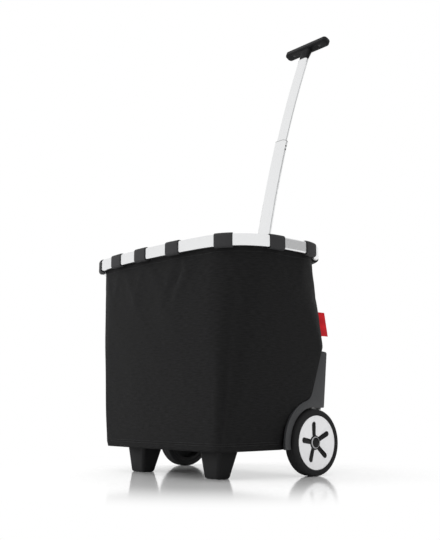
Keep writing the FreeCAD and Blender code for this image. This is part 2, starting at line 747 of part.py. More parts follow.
def side_label():
    """A plain woven tab sewn into the right back seam, standing out backwards."""
    ends = []
    for z in (LABEL_Z - LABEL_HEIGHT / 2, LABEL_Z + LABEL_HEIGHT / 2):
        points = bag_volume(0.0).slice(AXIS_Z, z)[0].discretize(Number=800)
        ends.append(max(points, key=lambda point: point.x + point.y))
    start = [V(point.x + LABEL_GAP, point.y + LABEL_GAP, point.z) for point in ends]
    reach = AXIS_Y * LABEL_LENGTH
    outline = [start[0], start[1], start[1] + reach, start[0] + reach, start[0]]
    return Part.Face(Part.makePolygon(outline)).extrude(AXIS_X * LABEL_THICK)


# ---- chassis ----

def screw(point, direction, length=SCREW_LENGTH):
    """A pan-head screw whose head's underside is at a point."""
    shank = Part.makeCylinder(SCREW_RADIUS, length, point, direction)
    head = Part.makeCylinder(SCREW_HEAD_RADIUS, SCREW_HEAD, point - direction * SCREW_HEAD, direction)
    return shank.fuse(head).removeSplitter()


def foot_screws():
    seat = TRAY_TOP_Z - SCREW_HEAD - HEAD_GAP
    return [screw(V(side * FOOT_X + step, FOOT_Y, seat), -AXIS_Z)
            for side in (1, -1) for step in FOOT_SCREW_STEPS]


def beam_screws():
    seat = TRAY_TOP_Z - SCREW_HEAD - HEAD_GAP
    y = TRAY_BACK_Y - 2 * SCREW_HEAD_RADIUS
    length = TRAY_DEPTH - SCREW_HEAD - BEAM_SCREW_SPARE
    return [screw(V(x, y, seat), -AXIS_Z, length) for x in BEAM_SCREW_X]


def base_tray():
    """The moulded tray under the bag: a skin on a grid of ribs, open below."""
    inset = BAG_WALL + TRAY_GAP
    low = BAG_BOTTOM_Z + TRAY_GAP
    block = flat_layer(low, TRAY_TOP_Z, inset, TRAY_BACK_Y).cut(arch_notches(TRAY_GAP))
    hollow = flat_layer(low, TRAY_TOP_Z - TRAY_SKIN, inset + TRAY_RIB, TRAY_BACK_Y - TRAY_RIB)
    hollow = hollow.cut(arch_notches(TRAY_GAP + TRAY_RIB))
    half = BAG_BASE_WIDTH / 2
    count = int(half / TRAY_RIB_PITCH)
    ribs = []
    for index in range(-count, count + 1):
        near = index * TRAY_RIB_PITCH - TRAY_RIB / 2
        far = near + TRAY_RIB
        ribs.append(box((near, -half, low), (far, half, TRAY_TOP_Z)))
        ribs.append(box((-half, near, low), (half, far, TRAY_TOP_Z)))
    for item in foot_screws() + beam_screws():
        centre = item.BoundBox.Center
        boss_foot = V(centre.x, centre.y, low)
        ribs.append(Part.makeCylinder(SCREW_HEAD_RADIUS + TRAY_RIB, TRAY_DEPTH, boss_foot))
    half_width = FOOT_TOP_WIDTH / 2
    half_depth = FOOT_TOP_DEPTH / 2
    for side in (1, -1):
        x = side * FOOT_X
        ribs.append(box((x - half_width, FOOT_Y - half_depth, low),
                        (x + half_width, FOOT_Y + half_depth, TRAY_TOP_Z)))
    tray = block.cut(hollow.cut(joined(ribs)))
    return biggest(tray.cut(foot_screws() + beam_screws()))


def axle_beam():
    """The moulded beam that carries the axle and the pole's foot."""
    low = BAG_BOTTOM_Z + TRAY_GAP
    reach = ARCH_INNER_X - BEAM_END_GAP
    block = box((-reach, BEAM_FRONT_Y, low), (reach, BEAM_BACK_Y, BEAM_TOP_Z))
    hollow = box((-reach + BEAM_WALL, BEAM_FRONT_Y + BEAM_WALL, low - 1),
                 (reach - BEAM_WALL, BEAM_BACK_Y - BEAM_WALL, BEAM_TOP_Z - BEAM_WALL))
    half_web = BEAM_WALL / 2
    webs = [box((x - half_web, BEAM_FRONT_Y, low), (x + half_web, BEAM_BACK_Y, BEAM_TOP_Z))
            for place in BEAM_WEBS for x in {place, -place}]
    half_saddle = OUTER_TUBE[0] / 2 + TOWER_WALL
    saddle_back = pole_y(BEAM_TOP_Z) + OUTER_TUBE[1] / 2 + TOWER_WALL
    saddle = box((-half_saddle, BEAM_FRONT_Y, OUTER_FOOT_Z - BEAM_WALL),
                 (half_saddle, saddle_back, BEAM_TOP_Z))
    tower = filled(OUTER_TUBE, pole_angle(BEAM_TOP_Z - BEAM_WALL), pole_angle(TOWER_TOP_Z), TOWER_WALL)
    beam = joined([block.cut(hollow.cut(joined(webs))), saddle, tower])
    socket = filled(OUTER_TUBE, OUTER_FOOT, MIDDLE_FOOT, JOINER_GAP)
    axle_hole = rod_x(AXLE_RADIUS + AXLE_GAP, -RIM_WIDTH, RIM_WIDTH, WHEEL_Y, AXLE_Z)
    return biggest(beam.cut(socket).cut(axle_hole).cut(socket_screws()))


def socket_screws():
    """Two screws through the tower into the pole's fixed tube."""
    z = (BEAM_TOP_Z + TOWER_TOP_Z) / 2
    y = pole_y(z)
    reach = OUTER_TUBE[0] / 2 + TOWER_WALL
    length = TOWER_WALL + TUBE_WALL + SOCKET_SCREW_SPARE
    return [screw(V(side * reach, y, z), V(-side, 0, 0), length) for side in (1, -1)]


def foot():
    """The right front foot: a hollow moulding that narrows downwards, mostly from behind."""
    sections = ((V(FOOT_X, FOOT_Y - FOOT_LEAN, 0.0), FOOT_BASE_WIDTH, FOOT_BASE_DEPTH),
                (V(FOOT_X, FOOT_Y, BAG_BOTTOM_Z + TRAY_GAP), FOOT_TOP_WIDTH, FOOT_TOP_DEPTH))
    levels = [rounded_wire(centre, AXIS_X, AXIS_Y, width, depth, FOOT_ROUND)
              for centre, width, depth in sections]
    body = Part.makeLoft(levels, True, True)
    bottom_edges = [edge for edge in body.Edges if edge.BoundBox.ZMax < 0.01]
    return body.makeFillet(FOOT_EDGE_ROUND, bottom_edges).cut(foot_screws())


def axle():
    reach = WHEEL_X + HUB_FACE + AXLE_END
    return rod_x(AXLE_RADIUS, -reach, reach, WHEEL_Y, AXLE_Z)


def axle_ring(x0, x1, radius):
    ring = rod_x(radius, x0, x1, WHEEL_Y, AXLE_Z)
    return ring.cut(rod_x(AXLE_RADIUS, x0 - 1, x1 + 1, WHEEL_Y, AXLE_Z))


def axle_clips():
    start = WHEEL_X + HUB_FACE + CLIP_GAP
    return both_sides(axle_ring(start, start + CLIP_THICK, BUSH_FLANGE))


def axle_spacers():
    start = ARCH_INNER_X + ARCH_WALL
    end = WHEEL_X + HUB_INNER_X - BUSH_LIP_THICK - SPACER_GAP
    return both_sides(axle_ring(start, end, BUSH_RADIUS))


# ---- wheel, made on the right; its sections are drawn as distance along the axle and radius ----

def turned(points):
    """Turn a closed section about the axle. A point may be (along, radius) or a three-point arc."""
    edges = []
    last = V(points[0][0], 0, points[0][1])
    for item in list(points[1:]) + [points[0]]:
        if len(item) == 4:
            middle = V(item[0], 0, item[1])
            end = V(item[2], 0, item[3])
            edges.append(Part.Arc(last, middle, end).toShape())
        else:
            end = V(item[0], 0, item[1])
            edges.append(Part.makeLine(last, end))
        last = end
    solid = Part.Face(Part.Wire(edges)).revolve(V(0, 0, 0), AXIS_X, 360)
    solid.translate(V(WHEEL_X, WHEEL_Y, AXLE_Z))
    return solid


HALF = WHEEL_WIDTH / 2
SEAT = HALF - 2.0
FACE_EDGE = HALF - 2.5
FACE_CORE = FACE_EDGE - DISC_DISH
CORE_RADIUS = STAR_CORE + STAR_FRAME


def face_at(radius):
    """How far out the dished face of the wheel is at a radius."""
    share = (radius - CORE_RADIUS) / (DISC_EDGE - CORE_RADIUS)
    return FACE_CORE + DISC_DISH * max(0.0, share)


def tyre():
    r = TYRE_SHOULDER
    bend = r * (1 - math.sqrt(0.5))
    side = WHEEL_RADIUS - r
    foot = TYRE_SEAT + TYRE_SEAT_CHAMFER
    return turned([(-SEAT, TYRE_SEAT), (SEAT, TYRE_SEAT), (HALF, foot), (HALF, side),
                   (HALF - bend, WHEEL_RADIUS - bend, HALF - r, WHEEL_RADIUS),
                   (r - HALF, WHEEL_RADIUS),
                   (bend - HALF, WHEEL_RADIUS - bend, -HALF, side), (-HALF, foot)])


def star():
    """The five-armed inlay in the dished face."""
    reach = STAR_REACH + 2.0
    low = [(FACE_CORE - STAR_DEPTH, 0), (FACE_CORE - STAR_DEPTH, CORE_RADIUS),
           (face_at(reach) - STAR_DEPTH, reach)]
    high = [(face_at(reach) + STAR_PROUD, reach), (FACE_CORE + STAR_PROUD, CORE_RADIUS),
            (FACE_CORE + STAR_PROUD, 0)]
    layer = turned(low + high)
    solids = [rod_x(STAR_CORE, 0, WHEEL_WIDTH, 0, 0)]
    end = STAR_REACH - STAR_TIP
    for index in range(5):
        arm = Part.makePolygon([V(0, 0, -STAR_ROOT), V(0, end, -STAR_TIP), V(0, end, STAR_TIP),
                                V(0, 0, STAR_ROOT), V(0, 0, -STAR_ROOT)])
        blade = Part.Face(arm).extrude(AXIS_X * WHEEL_WIDTH)
        blade = blade.fuse(rod_x(STAR_TIP, 0, WHEEL_WIDTH, end, 0))
        blade.rotate(V(0, 0, 0), AXIS_X, STAR_TURN + 72 * index)
        solids.append(blade)
    prism = joined(solids)
    prism.translate(V(WHEEL_X, WHEEL_Y, AXLE_Z))
    return layer.common(prism)


def wheel_disc():
    bore = BUSH_RADIUS
    inner = TYRE_SEAT - DISC_RIM
    back = FACE_CORE - DISC_SKIN
    disc = turned([(-SEAT, TYRE_SEAT), (-SEAT, inner), (face_at(inner) - DISC_SKIN, inner),
                   (back, CORE_RADIUS), (back, HUB_RADIUS),
                   (HUB_INNER_X, HUB_RADIUS), (HUB_INNER_X, bore), (HUB_FACE, bore),
                   (HUB_FACE, HUB_POCKET), (FACE_CORE, HUB_POCKET), (FACE_CORE, CORE_RADIUS),
                   (FACE_EDGE, DISC_EDGE), (SEAT, DISC_EDGE + SEAT_SINK), (SEAT, TYRE_SEAT)])
    return disc.cut(star())


def hub_cap():
    low = FACE_CORE + STAR_PROUD
    return turned([(low, 0), (low, CAP_RADIUS), (low + CAP_THICK / 2, CAP_RADIUS),
                   (low + CAP_THICK, CAP_RADIUS - CAP_CHAMFER), (low + CAP_THICK, 0)])


def wheel_bushes():
    bore = AXLE_RADIUS + AXLE_GAP
    lip = HUB_INNER_X - BUSH_LIP_THICK
    end = HUB_INNER_X + BUSH_LENGTH
    inside = turned([(lip, bore), (lip, BUSH_FLANGE), (HUB_INNER_X, BUSH_FLANGE),
                     (HUB_INNER_X, BUSH_RADIUS), (end, BUSH_RADIUS), (end, bore)])
    outside = turned([(HUB_FACE - BUSH_LENGTH, bore), (HUB_FACE - BUSH_LENGTH, BUSH_RADIUS),
                      (HUB_FACE, BUSH_RADIUS), (HUB_FACE, bore)])
    return [inside, outside]


# ---- pole bracket ----

def bracket_screws():
    """Screws through the bracket's ears into the back rail."""
    x = sum(BRACKET_EAR_X) / 2
    reach = BRACKET_GAP + BRACKET_EAR_THICK
    length = reach + RIM_WALL + BRACKET_SCREW_SPARE
    return [screw(V(side * x, RIM_BACK_Y + reach, RIM_MID_Z), -AXIS_Y, length) for side in (1, -1)]


def pole_bracket():
    """The moulded collar round the fixed tube's top, with two ears that are screwed to the rim."""
    top = pole_angle(OUTER_TOP_Z - BRACKET_DROP)
    collar = filled(OUTER_TUBE, top - BRACKET_HEIGHT / POLE_BEND, top, BRACKET_WALL)
    ear_y = RIM_BACK_Y + BRACKET_GAP
    low = OUTER_TOP_Z - BRACKET_HEIGHT * 0.6
    high = RIM_TOP_Z - BRACKET_EAR_DROP
    bridge_high = RIM_TOP_Z - RIM_BAND - 2 * LOOP_THICK
    bridge_y = ear_y + 2 * BRACKET_EAR_THICK
    inner_x, outer_x = BRACKET_EAR_X
    pieces = [collar]
    for side in (1, -1):
        x0, x1 = sorted((side * inner_x, side * outer_x))
        pieces.append(box((x0, ear_y, low), (x1, ear_y + BRACKET_EAR_THICK, high)))
        x0, x1 = sorted((side * (OUTER_TUBE[0] / 2 - BRACKET_GAP), side * outer_x))
        pieces.append(box((x0, ear_y, low), (x1, bridge_y, bridge_high)))
    body = joined(pieces)
    bore = filled(OUTER_TUBE, top - 0.1, top + 0.1, JOINER_GAP)
    return biggest(body.cut(bore).cut(bracket_screws()))


# ---- grip, made upright about its own centre ----

GRIP_TURN = pole_angle(GRIP_Z)


def at_grip(shape):
    shape.rotate(V(0, 0, 0), AXIS_X, -math.degrees(GRIP_TURN))
    shape.translate(V(0, pole_y(GRIP_Z), GRIP_Z))
    return shape


def local_oval(size, z, grow=0.0):
    return oval(V(0, 0, z), size, grow)


def grip_bar():
    wire = rounded_wire(V(0, 0, -GRIP_THICK / 2), AXIS_X, AXIS_Y, GRIP_LENGTH, GRIP_DEPTH,
                        GRIP_END_ROUND)
    bar = Part.Face(wire).extrude(AXIS_Z * GRIP_THICK)
    ends = [edge for edge in bar.Edges if abs(edge.BoundBox.ZMax - edge.BoundBox.ZMin) < 0.01]
    return bar.makeFillet(GRIP_EDGE_ROUND, ends)


def button_space(low, high):
    return Part.Face(local_oval(BUTTON, low, BUTTON_GAP)).extrude(AXIS_Z * (high - low))


def grip_screw_group():
    seat = SCREW_HEAD + GRIP_SCREW_SINK - GRIP_THICK / 2
    length = GRIP_THICK / 2 + GRIP_SPLIT - BUTTON_SPARE
    return [screw(V(x, 0, seat), AXIS_Z, length) for x in GRIP_SCREW_X]


def grip_body():
    """The grip's lower half with the stem that plugs into the inner tube."""
    bar = grip_bar()
    lower = bar.common(box((-GRIP_LENGTH, -GRIP_DEPTH, -GRIP_THICK),
                           (GRIP_LENGTH, GRIP_DEPTH, GRIP_SPLIT)))
    stem_length = (GRIP_TURN - INNER_TOP) * POLE_BEND
    underside = BUTTON_PROUD - GRIP_THICK / 2
    stem_foot = local_oval(STEM_FOOT, STEM_SEAT_GAP - stem_length)
    stem = Part.makeLoft([stem_foot, local_oval(STEM_TOP, underside)], True, True)
    plug = filled(INNER_TUBE, INNER_TOP - STEM_PLUG / POLE_BEND,
                  INNER_TOP + 2 * BUTTON_PROUD / POLE_BEND, -TUBE_WALL - SPIGOT_GAP)
    pocket = button_space(BUTTON_FOOT - BUTTON_TRAVEL - BUTTON_SPARE, GRIP_THICK)
    passage_foot = -stem_length - STEM_PLUG - BUTTON_SPARE
    passage = Part.makeCylinder(ROD_HOLE, -passage_foot, V(0, 0, passage_foot))
    heads = [Part.makeCylinder(SCREW_HEAD_RADIUS, GRIP_THICK / 2 + SCREW_HEAD + GRIP_SCREW_SINK,
                               V(x, 0, -GRIP_THICK)) for x in GRIP_SCREW_X]
    holes = [at_grip(tool) for tool in [pocket, passage] + grip_screw_group() + heads]
    body = joined([at_grip(lower), at_grip(stem), plug])
    return biggest(body.cut(holes))


def grip_top():
    upper = grip_bar().common(
        box((-GRIP_LENGTH, -GRIP_DEPTH, GRIP_SPLIT), (GRIP_LENGTH, GRIP_DEPTH, GRIP_THICK)))
    hole = button_space(0.0, GRIP_THICK)
    return at_grip(biggest(upper.cut(hole).cut(grip_screw_group())))


def grip_screws():
    return [at_grip(item) for item in grip_screw_group()]


def grip_button():
    low = BUTTON_FOOT
    high = GRIP_THICK / 2 + BUTTON_PROUD
    body = Part.Face(local_oval(BUTTON, low)).extrude(AXIS_Z * (high - low))
    top = [edge for edge in body.Edges if edge.BoundBox.ZMin > high - 0.01]
    return at_grip(body.makeFillet(BUTTON_ROUND, top))


def release_rod():
    """The rod from the button down the inner tube to the catch in its shoe."""
    low = INNER_FOOT + (SHOE_SPIGOT + 1.0) / POLE_BEND
    return filled((2 * ROD_RADIUS, 2 * ROD_RADIUS), low, GRIP_TURN + BUTTON_FOOT / POLE_BEND)


# ---- writing ----

BACK_REACH = pole_y(GRIP_Z) + GRIP_DEPTH / 2 * math.cos(GRIP_TURN) + (
    GRIP_THICK / 2 - 1.0) * math.sin(GRIP_TURN)
ORIGIN_Y = (RIM_FRONT_Y - LOOP_GAP - LOOP_THICK + BACK_REACH) / 2


def write(node, shape):
    """Write one node, moved so that the origin is under the middle of the overall depth."""
    solids = list(shape) if isinstance(shape, (list, tuple)) else [shape]
    shape = Part.makeCompound(solids) if len(solids) > 1 else solids[0]
    shape.translate(V(0, -ORIGIN_Y, 0))
    for solid in shape.Solids:
        if not solid.isValid():
            print("not valid:", node)
    size = shape.BoundBox
    print(f"{node:20s} solids {len(shape.Solids):2d} volume {shape.Volume:10.1f}"
          f" y {size.YMin:7.1f} {size.YMax:7.1f} z {size.ZMin:7.1f} {size.ZMax:7.1f}")
    shape.exportStep(f"parts/{node}.step")


def main():
    os.makedirs("parts", exist_ok=True)
    rim_rivets = rivets()
    screws_in_rail = bracket_screws()
    write("rim_front_rail", rail(FRONT_RAIL_ARCS).cut(rim_rivets))
    write("rim_back_rail", rail(BACK_RAIL_ARCS).cut(rim_rivets).cut(screws_in_rail))
    write("rim_joiner_right", joiner(1).cut(rim_rivets))
    write("rim_joiner_left", joiner(-1).cut(rim_rivets))
    write("rim_rivets", rim_rivets)
    write("rim_loops", loops())

    for node, panel in bag_panels().items():
        write(node, panel)
    write("bag_back", bag_back())
    write("bag_bottom", bag_bottom())
    write("base_board", base_board())
    write("side_label", side_label())

    write("base_tray", base_tray())
    write("axle_beam", axle_beam())
    write("foot_screws", foot_screws())
    write("beam_screws", beam_screws())
    write("socket_screws", socket_screws())
    for side, shape in zip(("right", "left"), both_sides(foot())):
        write("foot_" + side, shape)
    for side, shape in zip(("right", "left"), both_sides(arch())):
        write("wheel_arch_" + side, shape)
    write("axle", axle())
    write("axle_clips", axle_clips())
    write("axle_spacers", axle_spacers())

    wheel = {"tyre": tyre(), "wheel_disc": wheel_disc(), "wheel_star": star(), "hub_cap": hub_cap()}
    for name, shape in wheel.items():
        for side, copy in zip(("right", "left"), both_sides(shape)):
            write(name + "_" + side, copy)
    for side, sign in (("right", 0), ("left", 1)):
        write("wheel_bushes_" + side, [both_sides(bush)[sign] for bush in wheel_bushes()])

    outer_tube = tube(OUTER_TUBE, OUTER_FOOT, OUTER_TOP).cut(socket_screws())
    write("pole_outer_tube", outer_tube)
    write("outer_bush", guide_bush(OUTER_TUBE, MIDDLE_TUBE, OUTER_TOP))
    write("pole_bracket", pole_bracket())
    write("bracket_screws", screws_in_rail)
    middle_studs = studs(MIDDLE_TUBE, MIDDLE_TOP)
    write("pole_middle_tube", tube(MIDDLE_TUBE, MIDDLE_FOOT, MIDDLE_TOP).cut(middle_studs))
    bush = guide_bush(MIDDLE_TUBE, INNER_TUBE, MIDDLE_TOP)
    bore = filled(INNER_TUBE, MIDDLE_TOP - 0.02, MIDDLE_TOP, SLIDE_GAP)
    write("middle_bush", joined([bush] + middle_studs).cut(bore))
    write("middle_shoe", shoe(MIDDLE_TUBE, OUTER_TUBE, MIDDLE_FOOT))
    write("pole_inner_tube", tube(INNER_TUBE, INNER_FOOT, INNER_TOP))
    write("inner_shoe", shoe(INNER_TUBE, MIDDLE_TUBE, INNER_FOOT))
    write("grip_body", grip_body())
    write("grip_top", grip_top())
    write("grip_screws", grip_screws())
    write("grip_button", grip_button())
    write("release_rod", release_rod())

    middle_length = (MIDDLE_TOP - MIDDLE_FOOT) * POLE_BEND
    lowest = OUTER_FOOT + (SHOE_LENGTH + 2.0) / POLE_BEND
    print("pole centre (m):", (POLE_CENTRE_Y - ORIGIN_Y) / 1000, POLE_CENTRE_Z / 1000)
    print("middle travel (deg):", math.degrees(MIDDLE_FOOT - lowest), "middle length", middle_length)
    print("inner travel (deg):", math.degrees(INNER_TOP - MIDDLE_TOP - 12.0 / POLE_BEND))
    print("axle (m):", (WHEEL_Y - ORIGIN_Y) / 1000, AXLE_Z / 1000)
    print("button axis:", -math.sin(GRIP_TURN), -math.cos(GRIP_TURN))
    print("foot centre (m):", FOOT_X / 1000, (FOOT_Y - FOOT_LEAN - ORIGIN_Y) / 1000)
    print("origin moved by (mm):", -ORIGIN_Y)


main()
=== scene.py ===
import math

import bmesh
import bpy
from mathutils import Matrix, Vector, noise


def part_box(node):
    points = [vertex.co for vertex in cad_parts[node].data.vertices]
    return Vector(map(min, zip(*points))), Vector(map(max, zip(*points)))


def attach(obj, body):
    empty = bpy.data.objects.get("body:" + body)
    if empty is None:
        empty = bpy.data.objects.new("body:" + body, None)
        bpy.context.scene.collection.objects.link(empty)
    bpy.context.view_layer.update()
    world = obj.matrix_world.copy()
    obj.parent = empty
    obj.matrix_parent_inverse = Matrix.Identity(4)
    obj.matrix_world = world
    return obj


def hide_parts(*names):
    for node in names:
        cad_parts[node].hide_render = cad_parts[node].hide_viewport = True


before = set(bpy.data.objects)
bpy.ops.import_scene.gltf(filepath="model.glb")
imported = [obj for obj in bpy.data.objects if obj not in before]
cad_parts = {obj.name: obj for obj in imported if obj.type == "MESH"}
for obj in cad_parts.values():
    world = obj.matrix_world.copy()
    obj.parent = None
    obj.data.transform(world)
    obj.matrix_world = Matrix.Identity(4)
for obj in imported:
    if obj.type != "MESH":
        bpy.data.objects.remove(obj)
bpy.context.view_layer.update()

# ---- The camera and the studio ----
# A low camera at the basket's front right corner looks slightly up at it. A pale glossy floor, two
# soft lights and a grey card stand in for the studio; they aren't part of the object.

camera_data = bpy.data.cameras.new("camera")
camera_data.lens = 53.9
camera = bpy.data.objects.new("camera", camera_data)
camera.location = (1.2754, -1.2038, 0.1348)
camera.rotation_euler = (math.radians(90 + 9.53), 0, math.radians(48.0))
bpy.context.scene.collection.objects.link(camera)
bpy.context.scene.camera = camera
bpy.context.scene.view_settings.view_transform = "Standard"


class Value:
    """A shader socket that plain arithmetic works on."""

    def __init__(self, finish, socket):
        self.finish = finish
        self.socket = socket

    def sum(self, operation, a, b):
        return self.finish.node("ShaderNodeMath", {"operation": operation}, {0: a, 1: b})

    def __add__(self, other):
        return self.sum("ADD", self, other)

    def __sub__(self, other):
        return self.sum("SUBTRACT", self, other)

    def __rsub__(self, other):
        return self.sum("SUBTRACT", other, self)

    def __mul__(self, other):
        return self.sum("MULTIPLY", self, other)

    __radd__ = __add__
    __rmul__ = __mul__


class Finish:
    """One material: a Principled surface and the nodes that feed it."""

    def __init__(self, name, colour, roughness, **fixed):
        self.material = bpy.data.materials.new(name)
        self.material.use_nodes = True
        self.nodes = self.material.node_tree.nodes
        self.surface = self.nodes["Principled BSDF"]
        self.set("Base Color", (*colour, 1))
        self.set("Roughness", roughness)
        for socket, value in fixed.items():
            self.set(socket.replace("_", " "), value)
        self.places = self.nodes.new("ShaderNodeTexCoord")

    def join(self, value, socket):
        if isinstance(value, Value):
            self.material.node_tree.links.new(value.socket, socket)
        else:
            socket.default_value = value

    def set(self, socket, value):
        self.join(value, self.surface.inputs[socket])

    def node(self, kind, settings, inputs, output=0):
        made = self.nodes.new(kind)
        for name, value in settings.items():
            if name == "stops":
                for stop, (place, colour) in zip(made.color_ramp.elements, value):
                    stop.position = place
                    stop.color = colour
            else:
                setattr(made, name, value)
        for key, value in inputs.items():
            self.join(value, made.inputs[key])
        return Value(self, made.outputs[output])

    def place(self, scale=(1, 1, 1), uv=False):
        source = Value(self, self.places.outputs["UV" if uv else "Object"])
        return self.node("ShaderNodeMapping", {}, {"Vector": source, "Scale": scale})

    def grain(self, scale, detail=2.0, stretch=(1, 1, 1), uv=False):
        """Cloudy noise from 0 to 1, whose features are about 1/scale metres."""
        return self.node("ShaderNodeTexNoise", {},
                         {"Vector": self.place(stretch, uv), "Scale": scale, "Detail": detail})

    def waves(self, pitch, direction, uv=True, profile="SIN"):
        """Parallel bands, one every pitch metres, across the direction."""
        return self.node("ShaderNodeTexWave", {"bands_direction": direction, "wave_profile": profile},
                         {"Vector": self.place((1, 1, 1), uv), "Scale": math.pi / (10 * pitch)})

    def blend(self, share, low, high):
        """A colour between two colours."""
        return self.node("ShaderNodeMix", {"data_type": "RGBA"},
                         {0: share, 6: (*low, 1), 7: (*high, 1)}, output=2)

    def glow_away_from(self, centre, near, far):
        """Turn to plain white light beyond a distance from a place, as a lit paper sweep does."""
        offset = self.node("ShaderNodeVectorMath", {"operation": "DISTANCE"},
                           {0: self.place(), 1: centre}, output=1)
        share = self.node("ShaderNodeMapRange", {"interpolation_type": "SMOOTHSTEP"},
                          {"Value": offset, "From Min": near, "From Max": far})
        white = self.node("ShaderNodeEmission", {}, {"Strength": 1.0})
        both = self.node("ShaderNodeMixShader", {}, {0: share, 2: white})
        self.join(Value(self, self.surface.outputs[0]), both.socket.node.inputs[1])
        self.join(both, self.nodes["Material Output"].inputs["Surface"])

    def bump(self, height, distance, strength=1.0):
        self.set("Normal", self.node("ShaderNodeBump", {},
                                     {"Height": height, "Distance": distance, "Strength": strength}))


def shown(name, mesh, finish):
    """Put a smooth-shaded mesh in the scene with its material."""
    mesh.materials.clear()
    mesh.materials.append(finish.material)
    for face in mesh.polygons:
        face.use_smooth = True
    piece = bpy.data.objects.new(name, mesh)
    bpy.context.scene.collection.objects.link(piece)
    return piece


studio_floor = Finish("studio_floor", (0.93, 0.93, 0.93), 0.1, Specular_IOR_Level=0.42)
studio_floor.set("Roughness", studio_floor.grain(3.0) * 0.03 + 0.08)
studio_floor.glow_away_from((0.05, -0.10, 0), 0.24, 0.55)
floor_mesh = bpy.data.meshes.new("floor")
floor_mesh.from_pydata([(-9, -9, 0), (9, -9, 0), (9, 9, 0), (-9, 9, 0)], [], [(0, 1, 2, 3)])
floor = shown("floor", floor_mesh, studio_floor)

sky = bpy.data.worlds.new("studio")
sky.use_nodes = True
sky.node_tree.nodes["Background"].inputs["Color"].default_value = (1, 1, 1, 1)
sky.node_tree.nodes["Background"].inputs["Strength"].default_value = 1.0
bpy.context.scene.world = sky


def soft_light(name, place, aim, size, power):
    data = bpy.data.lights.new(name, "AREA")
    data.shape = "RECTANGLE"
    data.size = size[0]
    data.size_y = size[1]
    data.energy = power
    lamp = bpy.data.objects.new(name, data)
    lamp.location = place
    lamp.rotation_euler = (Vector(aim) - Vector(place)).to_track_quat("-Z", "Y").to_euler()
    lamp.visible_glossy = False
    bpy.context.scene.collection.objects.link(lamp)


soft_light("front_left", (-1.6, -2.5, 1.0), (0, 0, 0.3), (1.6, 1.8), 62)
soft_light("overhead", (0.2, 0.1, 3.0), (0, 0, 0.3), (3.0, 3.0), 12)

card_finish = Finish("grey_card", (0.42, 0.42, 0.42), 0.9, Specular_IOR_Level=0.1)
card_finish.set("Roughness", card_finish.grain(20.0) * 0.1 + 0.85)
card_mesh = bpy.data.meshes.new("card")
card_corners = [(2.0, 0.9, 0.1), (0.9, 2.2, 0.1), (0.9, 2.2, 2.0), (2.0, 0.9, 2.0)]
card_mesh.from_pydata(card_corners, [], [(0, 1, 2, 3)])
shown("card", card_mesh, card_finish)

# ---- The rim ----
# Two bent rails of hollow oval aluminium, satin anodised, plugged into each other at the sides and
# held by blind rivets. The bag hangs from it.

anodised = Finish("anodised_aluminium", (0.80, 0.805, 0.81), 0.3, Metallic=1.0)
streaks = anodised.grain(90.0, 3.0, (1, 1, 14))
anodised.set("Roughness", streaks * 0.12 + 0.18)
cloud = anodised.grain(6.0)
anodised.set("Base Color", anodised.blend(cloud, (0.76, 0.765, 0.77), (0.84, 0.845, 0.85)))
anodised.bump(streaks, 0.00004, 0.5)

zinc = Finish("zinc_plated_steel", (0.56, 0.56, 0.57), 0.34, Metallic=1.0)
zinc.set("Roughness", zinc.grain(420.0, 3.0) * 0.2 + 0.26)


def finished(finish, *nodes):
    """Give CAD pieces whose shape is right their real finish."""
    for node in nodes:
        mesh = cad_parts[node].data
        mesh.materials.clear()
        mesh.materials.append(finish.material)


finished(anodised, "rim_front_rail", "rim_back_rail", "rim_joiner_left", "rim_joiner_right")
finished(zinc, "rim_rivets")


def tangent_corner(half_width, half_depth, bow, side_bow, corner):
    """Centre of the circle that rounds a corner between a bow and a side."""
    bow_y = half_depth - bow
    side_x = half_width - side_bow
    apart = math.hypot(side_x, bow_y)
    to_bow = bow - corner
    to_side = side_bow - corner
    along = (apart ** 2 + to_bow ** 2 - to_side ** 2) / (2 * apart)
    off = math.sqrt(to_bow ** 2 - along ** 2)
    ux = side_x / apart
    uy = -bow_y / apart
    choices = [(ux * along - uy * off * s, bow_y + uy * along + ux * off * s) for s in (1, -1)]
    return max(choices, key=sum)


